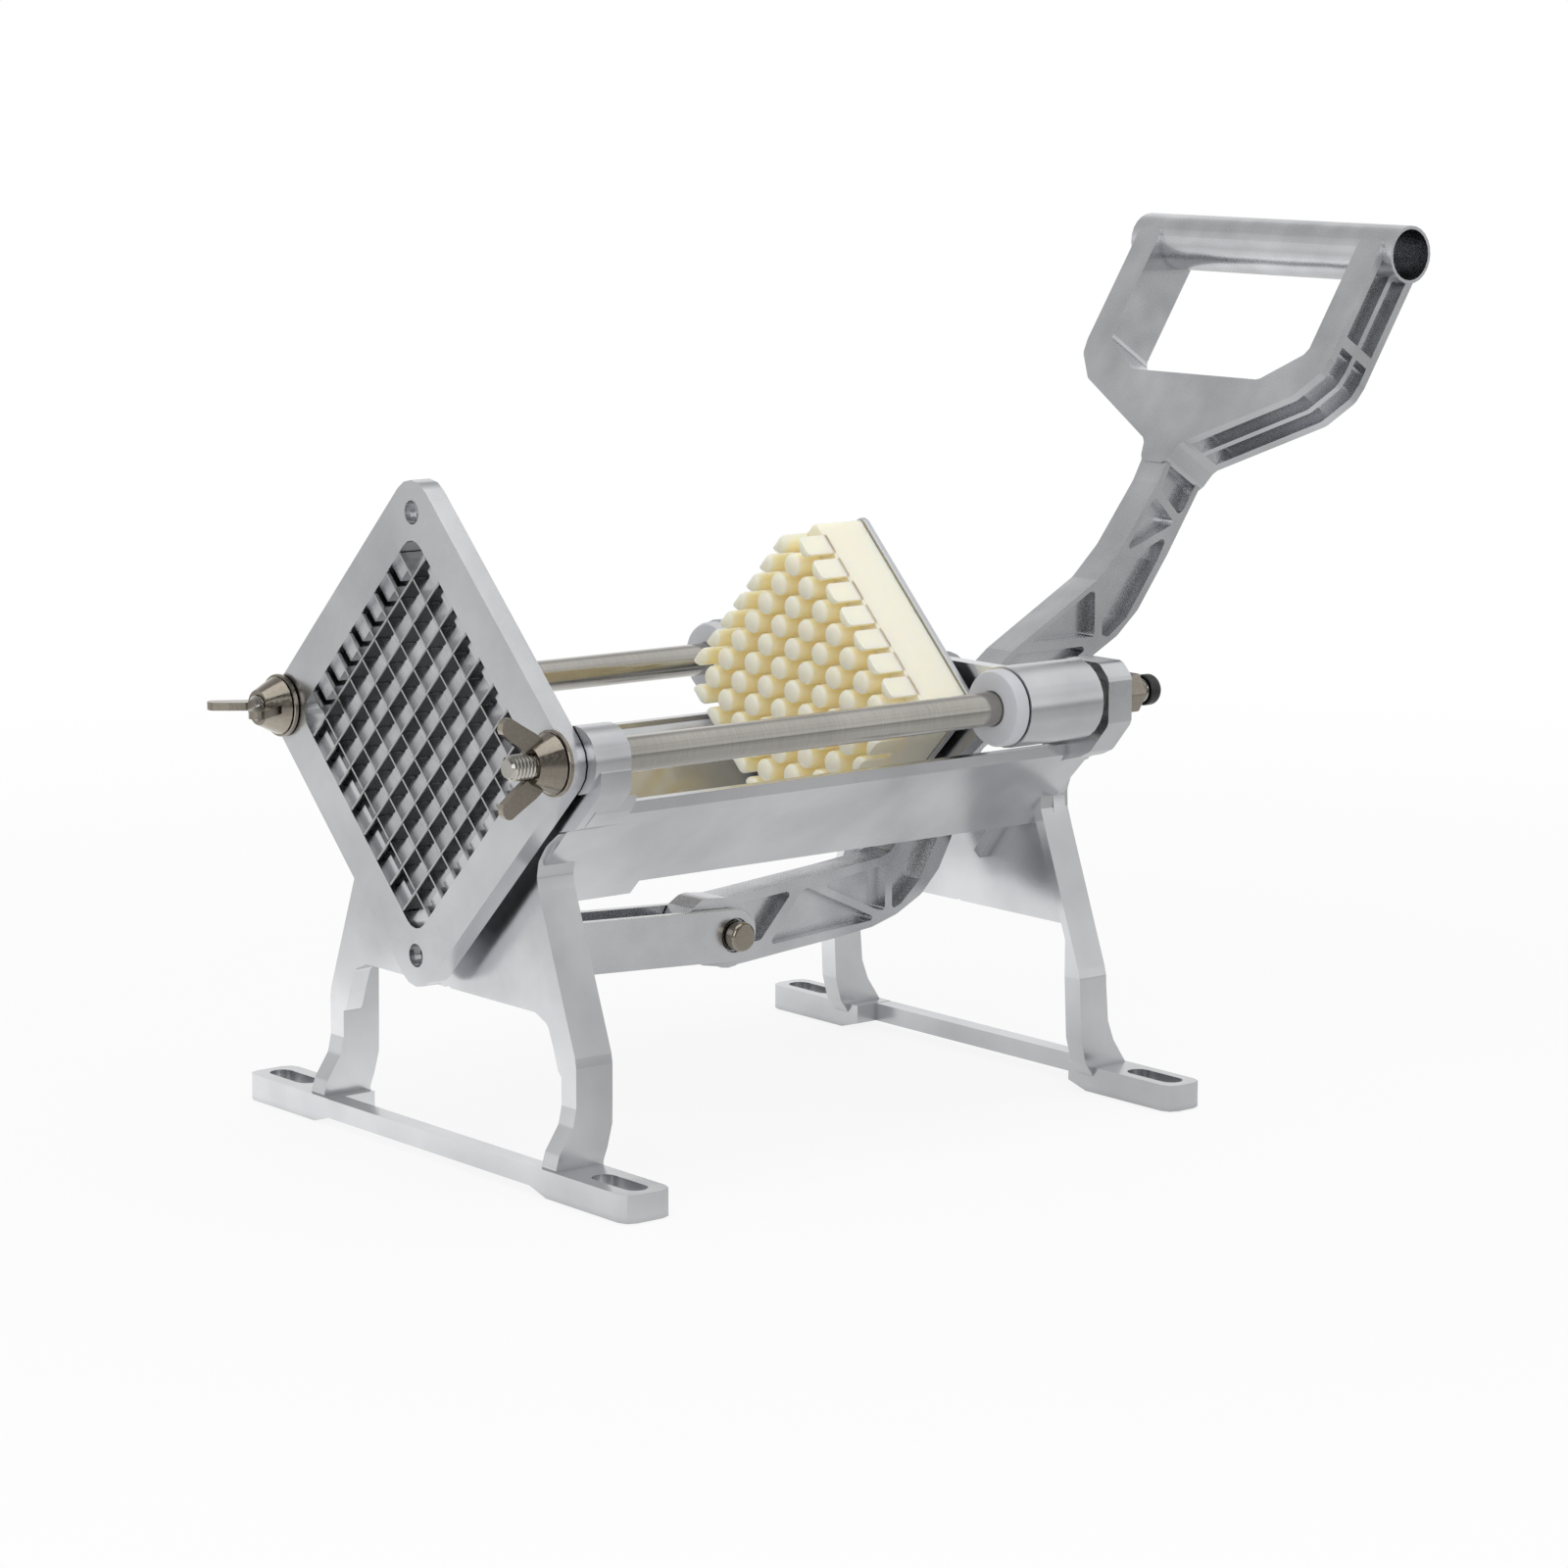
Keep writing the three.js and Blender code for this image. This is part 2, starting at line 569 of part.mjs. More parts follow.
function bushing(name, side) {
  const { flange, flangeRadius, lead } = BUSHING;
  const shoulder = CARRIAGE.housingFront - FACE_GAP;
  const front = shoulder - flange;
  const back = CARRIAGE.housingBack - FACE_GAP;
  const bore = ROD.radius + FIT;
  const body = latheX([
    [bore, front], [flangeRadius - lead, front], [flangeRadius, front + lead], [flangeRadius, shoulder],
    [CARRIAGE.housingBore, shoulder], [CARRIAGE.housingBore, back], [bore, back], [bore, front],
  ]);
  return onRod(name, body, side, 'whiteNylon');
}

function guideRod(name, side, front) {
  const { radius, threadRadius, frontShoulder, rearShoulder, rear, chamfer } = ROD;
  const body = latheX([
    [0, front], [threadRadius - chamfer, front], [threadRadius, front + chamfer],
    [threadRadius, frontShoulder], [radius, frontShoulder], [radius, rearShoulder],
    [threadRadius, rearShoulder], [threadRadius, rear], [0, rear],
  ]);
  return onRod(name, body, side, 'polishedSteel');
}

/** Flat ring or nut round a rod's thread. */
function ring(name, side, from, length, radius, steps) {
  const bore = circle(0, 0, ROD.threadRadius + FIT, PIN_STEPS);
  const body = prismX(circle(0, 0, radius, steps), from, from + length, [bore]);
  return onRod(name, body, side, 'polishedSteel');
}

function rodCap(name, side) {
  const { mouth, wall, top, dome, endGap } = CAP;
  const bore = ROD.threadRadius + FACE_GAP;
  const radius = bore + wall;
  const boreEnd = ROD.rear + endGap;
  const front = ROD.rear - mouth;
  const back = boreEnd + top;
  const curve = new THREE.EllipseCurve(0, back - dome, radius, dome, 0, Math.PI / 2);
  const round = curve.getPoints(CORNER_STEPS + 1).slice(0, -1).map((point) => [point.x, point.y]);
  const profile = [[0, boreEnd], [bore, boreEnd], [bore, front], [radius, front], ...round, [0, back]];
  return onRod(name, latheX(profile, PIN_STEPS), side, 'blackRubber');
}

function wingNut(name, side, turn) {
  const { length, backRadius, frontRadius, wingThickness, reach } = WING_NUT;
  const back = HOLDER.front - 2 * FACE_GAP - WASHER.thickness;
  const front = back - length;
  const hub = latheX([[0, front], [frontRadius, front], [backRadius, back], [0, back]], PIN_STEPS);
  const half = wingThickness / 2;
  const wings = [1, -1].map((way) => {
    const outline = rounded(WING_OUTLINE.map(([x, out]) => [x, way * out]), half, 1);
    return prismY(outline, -half, half);
  });
  const bore = cylinderX(0, 0, ROD.threadRadius + FIT, -reach, back + OVERLAP);
  const mesh = onRod(name, cut(joined([hub, ...wings]), [bore]), side, 'nickel');
  mesh.rotation.x = turn;
  return mesh;
}

function farRail() {
  return joined([
    prismX(RAIL_OUTLINE, RAIL.front, RAIL.back),
    prismX(RAIL_FRONT_DROP.outline, RAIL.front, RAIL_FRONT_DROP.back),
    prismX(WEB_RIB.outline, WEB_RIB.front, REAR_STAND.web + OVERLAP),
  ]);
}

/** Foot with its slot and the ramp that carries it down from the cross bar. */
function farFoot(start, end) {
  const { top, inner, rampEnd, outer, corner } = FOOT;
  const { margin, length, width } = FOOT_SLOT;
  const pad = prismZ(rounded(rectangle(start, end, inner, outer), corner), 0, top);
  const root = prismZ(rectangle(start, end, inner, inner + 2 * corner), 0, top);
  const below = [[inner, -OVERLAP], [inner, FOOT_BAR.bottom], [rampEnd, 0], [rampEnd, -OVERLAP]];
  const middle = (start + end) / 2;
  const slotEnd = outer - margin;
  const slot = rectangle(middle - width / 2, middle + width / 2, slotEnd - length, slotEnd);
  return cut(joined([pad, root]), [
    prismX(below, start - OVERLAP, end + OVERLAP),
    prismZ(rounded(slot, width / 2, 2 * CORNER_STEPS), -OVERLAP, top + OVERLAP),
  ]);
}

/** Leg whose outline is [|y|, z] from the front and [x, z] from the side. */
function farLeg(outline, side) {
  const xs = side.map(([x]) => x);
  const ys = outline.map(([y]) => y);
  const [front, back] = [Math.min(...xs) - OVERLAP, Math.max(...xs) + OVERLAP];
  const [near, far] = [Math.min(...ys) - OVERLAP, Math.max(...ys) + OVERLAP];
  const frontView = prismX(rounded(outline, STAND_CORNER), front, back);
  const sideView = prismY(rounded(side, STAND_CORNER), near, far);
  return frontView.intersect(sideView);
}

function farFrontStand() {
  const { face, web, bossBack, bossRadius, blockFront } = FRONT_STAND;
  const barEnd = FOOT.frontStart + FOOT_BAR.width;
  const lugRoot = rectangle(LINK_LUG.rootX, FRONT_PIVOT[0], LINK_LUG.rootLow, LINK_LUG.rootHigh);
  return joined([
    prismX(rounded(FRONT_WEB, STAND_CORNER), face, web),
    farLeg(FRONT_LEG, FRONT_SIDE),
    prismX(rounded(FRONT_BLOCK, STAND_CORNER), blockFront, bossBack),
    cylinderX(ROD_Y, ROD_Z, bossRadius, HOLDER.flangeBack + FACE_GAP, bossBack),
    farFoot(FOOT.frontStart, FOOT.frontEnd),
    prismX(rectangle(-OVERLAP, FOOT.inner + OVERLAP, FOOT_BAR.bottom, FOOT_BAR.top), FOOT.frontStart, barEnd),
    prismY(lugRoot, LINK_LUG.inner, LINK_LUG.outer),
    cylinderY(FRONT_PIVOT, LINK_LUG.radius, LINK_LUG.inner, LINK_LUG.outer, FINE_STEPS),
  ]);
}

function farRearStand() {
  const { face, web, upperFront, upperBack } = REAR_STAND;
  const barStart = FOOT.rearEnd - FOOT_BAR.width;
  return joined([
    prismX(rounded(REAR_WEB, STAND_CORNER), web, face),
    farLeg(REAR_LEG, REAR_SIDE),
    prismX(rounded(REAR_UPPER, STAND_CORNER), upperFront, upperBack),
    farFoot(FOOT.rearStart, FOOT.rearEnd),
    prismX(rectangle(-OVERLAP, FOOT.inner + OVERLAP, FOOT_BAR.bottom, FOOT_BAR.top), barStart, FOOT.rearEnd),
  ]);
}

/** Room for the holder's collar, and for a bushing at the front end of its travel. */
function frontStandRoom() {
  const { collarHalf, collarCorner, front, back } = HOLDER;
  const room = rounded(square(collarHalf + FACE_GAP), collarCorner + FACE_GAP, 2 * CORNER_STEPS);
  const { bossBack, legBack } = FRONT_STAND;
  return [
    prismX(onGrid(room), front, back + FACE_GAP),
    cylinderX(ROD_Y, ROD_Z, BUSHING.flangeRadius + FACE_GAP, bossBack, legBack + OVERLAP),
  ];
}

function baseCasting() {
  const half = joined([cut(farFrontStand(), frontStandRoom()), farRearStand(), farRail()]);
  const rodBore = ROD.radius + FIT;
  const threadBore = ROD.threadRadius + FIT;
  const { frontShoulder, rearShoulder } = ROD;
  const bored = cut(half, [
    cylinderX(ROD_Y, ROD_Z, rodBore, frontShoulder - FACE_GAP, FRONT_STAND.bossBack + OVERLAP),
    cylinderX(ROD_Y, ROD_Z, threadBore, HOLDER.flangeBack - OVERLAP, frontShoulder),
    cylinderX(ROD_Y, ROD_Z, rodBore, REAR_STAND.upperFront - OVERLAP, rearShoulder + FACE_GAP),
    cylinderX(ROD_Y, ROD_Z, threadBore, rearShoulder, REAR_STAND.face + OVERLAP),
    cylinderY(FRONT_PIVOT, PIN.radius + FIT, LINK_LUG.inner - OVERLAP, LINK_LUG.outer + OVERLAP),
  ]);
  return meshOf('base_casting', joined([bored, mirrored(bored)]), 'casting');
}

/** Basis of the tilted handle: across, up the handle, and through its depth. */
function handleBasis() {
  const up = new THREE.Vector3(Math.cos(HANDLE.tilt), 0, Math.sin(HANDLE.tilt));
  return [Y_AXIS, up, Y_AXIS.clone().cross(up)];
}

function handlePrism(outline, from, to) {
  return prism(outline, handleBasis(), from, to).translate([HANDLE.rootX, 0, HANDLE.rootZ]);
}

function handleFrame() {
  const frame = handlePrism(rounded(HANDLE_OUTLINE, HANDLE.corner), 0, HANDLE.depth);
  const tools = HANDLE.grooves.flatMap(([from, to]) => [SHOULDER_GROOVE, ARM_GROOVE].flatMap((outline) => {
    const groove = handlePrism(rounded(outline, HANDLE.grooveCorner), from, to);
    return [groove, mirrored(groove)];
  }));
  return cut(frame, tools);
}

/** Centre of the grip as [x, z]. */
function gripCentre() {
  const [, up, through] = handleBasis();
  const spot = new THREE.Vector3(HANDLE.rootX, 0, HANDLE.rootZ)
    .addScaledVector(up, HANDLE.gripUp)
    .addScaledVector(through, HANDLE.gripDepth);
  return [spot.x, spot.z];
}

function lever() {
  const { halfWidth, webHalf, hubRadius, bossRadius, corner, pocketCorner } = LEVER;
  const blank = joined([
    prismY(rounded(LEVER_OUTLINE, corner), -halfWidth, halfWidth),
    cylinderY(CARRIAGE_PIVOT, hubRadius, -halfWidth, halfWidth, FINE_STEPS),
  ]);
  const pockets = LEVER_POCKETS.flatMap((outline) => {
    const pocket = prismY(rounded(outline, pocketCorner), webHalf, halfWidth + OVERLAP);
    return [pocket, mirrored(pocket)];
  });
  const boss = cylinderY(LEVER_PIVOT, bossRadius, -halfWidth, halfWidth, FINE_STEPS);
  const beam = joined([cut(blank, pockets), boss]);
  const grip = cylinderY(gripCentre(), HANDLE.gripRadius, -HANDLE.gripHalf, HANDLE.gripHalf, FINE_STEPS);
  const gripBore = cylinderY(
    gripCentre(), HANDLE.gripBore, HANDLE.gripHalf - HANDLE.boreDepth, HANDLE.gripHalf + OVERLAP, FINE_STEPS,
  );
  const whole = cut(joined([beam, handleFrame(), grip]), [
    gripBore,
    mirrored(gripBore),
    cylinderY(CARRIAGE_PIVOT, PIN.radius + FIT, -halfWidth - OVERLAP, halfWidth + OVERLAP),
    cylinderY(LEVER_PIVOT, LINK_PIN.radius + FIT, -halfWidth - OVERLAP, halfWidth + OVERLAP),
  ]);
  return meshOf('handle_lever', whole, 'casting');
}

/** Outline of a bar with round ends, centred on two [x, z] points. */
function roundEndedBar([ax, az], [bx, bz], radius) {
  const lean = Math.atan2(bz - az, bx - ax);
  const far = new THREE.EllipseCurve(bx, bz, radius, radius, lean - Math.PI / 2, lean + Math.PI / 2);
  const near = new THREE.EllipseCurve(ax, az, radius, radius, lean + Math.PI / 2, lean + (Math.PI * 3) / 2);
  const steps = FINE_STEPS / 2;
  return [...far.getPoints(steps), ...near.getPoints(steps)].map((point) => [point.x, point.y]);
}

function linkBar(name, side) {
  const { inner, outer, halfHeight, sinkRadius, sinkDepth } = LINK;
  const bar = cut(prismY(roundEndedBar(FRONT_PIVOT, LEVER_PIVOT, halfHeight), inner, outer), [
    cylinderY(FRONT_PIVOT, PIN.radius + FIT, inner - OVERLAP, outer + OVERLAP),
    cylinderY(LEVER_PIVOT, LINK_PIN.radius + FIT, inner - OVERLAP, outer + OVERLAP),
    cylinderY(LEVER_PIVOT, sinkRadius, outer - sinkDepth, outer + OVERLAP),
  ]);
  return meshOf(name, side === FAR ? bar : mirrored(bar), 'casting');
}

function linkSpacer() {
  const tube = cylinderY(FRONT_PIVOT, SPACER.radius, -SPACER.half, SPACER.half);
  const bore = cylinderY(FRONT_PIVOT, PIN.radius + FIT, -SPACER.half - OVERLAP, SPACER.half + OVERLAP);
  return meshOf('link_spacer', cut(tube, [bore]), 'plate');
}

/** Headed pin along Y whose far end has a groove for its clip, through pieces that end at faceY. */
function headedPin(name, pivot, faceY) {
  const { radius, headRadius, headLength, tail, grooveRadius } = PIN;
  const headFace = -faceY - FACE_GAP;
  const grooveStart = faceY + FACE_GAP - CLIP.play;
  const grooveEnd = grooveStart + CLIP.thickness + 2 * CLIP.play;
  const end = faceY + tail;
  const body = latheY(pivot, [
    [0, headFace - headLength], [headRadius, headFace - headLength], [headRadius, headFace],
    [radius, headFace], [radius, grooveStart], [grooveRadius, grooveStart], [grooveRadius, grooveEnd],
    [radius, grooveEnd], [radius, end], [0, end],
  ]);
  return meshOf(name, body, 'nickel');
}

/** Open retaining clip in the groove of a pin. */
function clip(name, [x, z], faceY, grooveRadius) {
  const from = faceY + FACE_GAP;
  const to = from + CLIP.thickness;
  const mouth = rectangle(x - CLIP.mouth, x + CLIP.mouth, z - CLIP.radius - OVERLAP, z);
  const body = cut(cylinderY([x, z], CLIP.radius, from, to), [
    cylinderY([x, z], grooveRadius + FIT, from - OVERLAP, to + OVERLAP),
    prismY(mouth, from - OVERLAP, to + OVERLAP),
  ]);
  return meshOf(name, body, 'polishedSteel');
}

/** The pin that joins lever and link, in three lengths that part at the faces of the lever. */
function linkPins() {
  const { radius, nearEnd, farEnd, half, chamfer } = LINK_PIN;
  const faceY = LINK.outer;
  const grooveRadius = radius - PIN.radius + PIN.grooveRadius;
  const grooveStart = faceY + FACE_GAP - CLIP.play;
  const grooveEnd = grooveStart + CLIP.thickness + 2 * CLIP.play;
  const core = latheY(LEVER_PIVOT, [[0, -half], [radius, -half], [radius, half], [0, half]]);
  const head = latheY(LEVER_PIVOT, [
    [0, -nearEnd], [radius - chamfer, -nearEnd], [radius, chamfer - nearEnd], [radius, -LINK.inner],
    [0, -LINK.inner],
  ]);
  const tail = latheY(LEVER_PIVOT, [
    [0, LINK.inner], [radius, LINK.inner], [radius, grooveStart], [grooveRadius, grooveStart],
    [grooveRadius, grooveEnd], [radius, grooveEnd], [radius, farEnd - chamfer], [radius - chamfer, farEnd],
    [0, farEnd],
  ]);
  return [
    meshOf('link_pin_core', core, 'nickel'),
    meshOf('link_pin_head', head, 'nickel'),
    meshOf('link_pin_tail', tail, 'nickel'),
    clip('link_pin_clip', LEVER_PIVOT, faceY, grooveRadius),
  ];
}

/** Everything that sits square on the turned axes of the blade grid. */
function diamondGroup() {
  const group = new THREE.Group();
  group.add(bladeHolder(), ...blades(), pusherBlock(), pusherPlate());
  group.position.z = GRID_Z;
  group.rotation.x = DIAMOND_TURN;
  return group;
}

/** Rod with all that sits on it, on one side. */
function rodSet(label, side, wingTurn) {
  const frontWasher = HOLDER.front - FACE_GAP - WASHER.thickness;
  const rearWasher = REAR_STAND.upperBack + FACE_GAP;
  const nut = rearWasher + WASHER.thickness + FACE_GAP;
  return [
    guideRod(`guide_rod_${label}`, side, ROD.front[label]),
    bushing(`bushing_${label}`, side),
    ring(`front_washer_${label}`, side, frontWasher, WASHER.thickness, WASHER.frontRadius, PIN_STEPS),
    wingNut(`wing_nut_${label}`, side, wingTurn),
    ring(`rear_washer_${label}`, side, rearWasher, WASHER.thickness, WASHER.rearRadius, PIN_STEPS),
    ring(`rear_nut_${label}`, side, nut, REAR_NUT.length, REAR_NUT.radius, NUT_SIDES),
    rodCap(`rod_cap_${label}`, side),
  ];
}

function assembly() {
  const group = new THREE.Group();
  group.add(
    baseCasting(),
    diamondGroup(),
    ...pusherScrews(),
    carriage(),
    ...rodSet('near', NEAR, 0),
    ...rodSet('far', FAR, Math.PI / 2),
    lever(),
    linkBar('link_bar_near', NEAR),
    linkBar('link_bar_far', FAR),
    linkSpacer(),
    headedPin('carriage_pin', CARRIAGE_PIVOT, CARRIAGE.lugOuter),
    clip('carriage_pin_clip', CARRIAGE_PIVOT, CARRIAGE.lugOuter, PIN.grooveRadius),
    headedPin('front_pin', FRONT_PIVOT, LINK_LUG.outer),
    clip('front_pin_clip', FRONT_PIVOT, LINK_LUG.outer, PIN.grooveRadius),
    ...linkPins(),
  );
  return group;
}

const cutter = assembly();
cutter.updateMatrixWorld(true);
const middle = new THREE.Box3().setFromObject(cutter).getCenter(new THREE.Vector3());
cutter.children.forEach((child) => child.translateX(-middle.x));

export default cutter;
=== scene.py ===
"""Visual model of a hand-lever cutter that pushes a vegetable through a grid of blades.

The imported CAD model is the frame. This script gives every piece its finish, rounds the edges of the
castings, and rebuilds the turned pieces and the pegged pusher more finely where the CAD puts them.
Lengths are millimetres where nothing says metres. Places along x are counted back from a plane in the
front lip of the blade holder, and one function turns them into points in metres.
"""
import logging
import math
from dataclasses import dataclass
from enum import Enum

import bmesh
import bpy
from mathutils import Matrix, Vector


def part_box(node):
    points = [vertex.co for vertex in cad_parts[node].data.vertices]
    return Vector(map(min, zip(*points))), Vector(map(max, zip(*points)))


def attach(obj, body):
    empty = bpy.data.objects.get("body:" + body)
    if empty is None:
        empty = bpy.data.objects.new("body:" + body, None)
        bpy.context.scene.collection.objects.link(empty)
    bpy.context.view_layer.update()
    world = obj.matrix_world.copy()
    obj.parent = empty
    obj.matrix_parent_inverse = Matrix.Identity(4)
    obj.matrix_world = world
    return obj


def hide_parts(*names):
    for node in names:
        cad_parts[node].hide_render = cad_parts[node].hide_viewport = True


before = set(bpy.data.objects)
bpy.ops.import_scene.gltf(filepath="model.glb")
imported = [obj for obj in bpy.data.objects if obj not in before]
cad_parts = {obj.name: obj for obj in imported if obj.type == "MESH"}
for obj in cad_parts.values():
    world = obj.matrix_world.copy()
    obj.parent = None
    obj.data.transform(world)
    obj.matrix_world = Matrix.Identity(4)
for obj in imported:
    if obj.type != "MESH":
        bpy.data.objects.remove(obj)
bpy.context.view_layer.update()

Pair = tuple[float, float]
Triple = tuple[float, float, float]
Colour = tuple[float, float, float, float]

LOG = logging.getLogger("cutter")
MM = 0.001
# Front of the blade holder as counted from the plane in its lip
HOLDER_FRONT = -0.8
FRONT_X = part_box("blade_holder")[0].x - HOLDER_FRONT * MM
BLADE_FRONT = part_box("blade_a1")[0].x
ROD_Y = 70.5
GRID_Z = 129.5
ROD_Z = 130.4
PITCH = 9.525
# Points that are closer than this, in metres, are one
WELD = 2e-6
# Faces that meet at less than this are one flat face
FLAT_DEGREES = 0.6
SOFT_SHADING_DEGREES = 40.0
TRIANGLE = 3
# Steps across a rounding, more where it is seen from close by, and the least turn of an edge that gets one
EDGE_STEPS = 2
FINE_STEPS = 3
EDGE_DEGREES = 28.0
# Least share of x in the direction of an edge that runs along it
ALONG_X = 0.9
# Where crest and next root start along one turn of a thread, as shares of its pitch
CREST_START = 0.35
CREST_END = 0.55
ROOT_START = 0.9
ROUND_STEPS = 96
SMALL_ROUND_STEPS = 64
NEAR = "near"
FAR = "far"
# Values that nearly all of a noise texture lies between
NOISE_LOW = 0.3
NOISE_HIGH = 0.7
OCCLUSION_SAMPLES = 8


class Slot(Enum):
    """Material slots of the record."""

    CAST = "cast_aluminium"
    PLATE = "plate_aluminium"
    BLADE = "blade_steel"
    STEEL = "polished_steel"
    NICKEL = "nickel_plate"
    IVORY = "ivory_plastic"
    NYLON = "white_nylon"
    BLACK = "black_plastic"


def at(x: float, y: float, z: float) -> Vector:
    """Point in metres of a place in millimetres: back from the holder's lip, across and up."""
    return Vector((FRONT_X + x * MM, y * MM, z * MM))


def side_of(label: str) -> int:
    """Sign of Y on the named side."""
    return -1 if label == NEAR else 1


def linear(hex_colour: str) -> Colour:
    """Turns an sRGB hex colour into linear values.

    Args:
        hex_colour: Six hex digits.

    Returns:
        Red, green, blue and alpha, linear.
    """
    parts = [int(hex_colour[i:i + 2], 16) / 255 for i in (0, 2, 4)]
    out = [p / 12.92 if p <= 0.04045 else ((p + 0.055) / 1.055) ** 2.4 for p in parts]
    return (*out, 1.0)


def add_node(tree: bpy.types.NodeTree, kind: str, values: dict | None = None, links: dict | None = None,
             **settings: object) -> bpy.types.Node:
    """Adds a node with its settings, values and incoming links.

    Args:
        tree: Tree that gets the node.
        kind: Node type.
        values: Default value for each named or numbered input.
        links: Output socket for each named or numbered input.
        settings: Properties of the node itself.

    Returns:
        The new node.
    """
    node = tree.nodes.new(kind)
    for key, value in settings.items():
        setattr(node, key, value)
    for key, value in (values or {}).items():
        node.inputs[key].default_value = value
    for key, socket in (links or {}).items():
        tree.links.new(socket, node.inputs[key])
    return node


def set_ramp(node: bpy.types.Node, stops: list[tuple[float, tuple]]) -> None:
    """Sets the stops of a colour ramp.

    Args:
        node: Colour ramp node.
        stops: Position and linear colour of each stop, in order.
    """
    elements = node.color_ramp.elements
    while len(elements) < len(stops):
        elements.new(1.0)
    for element, (place, colour) in zip(elements, stops):
        element.position = place
        element.color = colour


def grey(value: float) -> Colour:
    """Opaque grey of one linear value."""
    return (value, value, value, 1.0)


def new_material(name: str) -> tuple[bpy.types.Material, bpy.types.NodeTree, bpy.types.Node]:
    """Makes an empty material with a principled shader.

    Args:
        name: Name of the finish.

    Returns:
        The material, its tree and the shader.
    """
    material = bpy.data.materials.new(name)
    material.use_nodes = True
    tree = material.node_tree
    tree.nodes.clear()
    shader = add_node(tree, "ShaderNodeBsdfPrincipled")
    add_node(tree, "ShaderNodeOutputMaterial", links={"Surface": shader.outputs[0]})
    return material, tree, shader


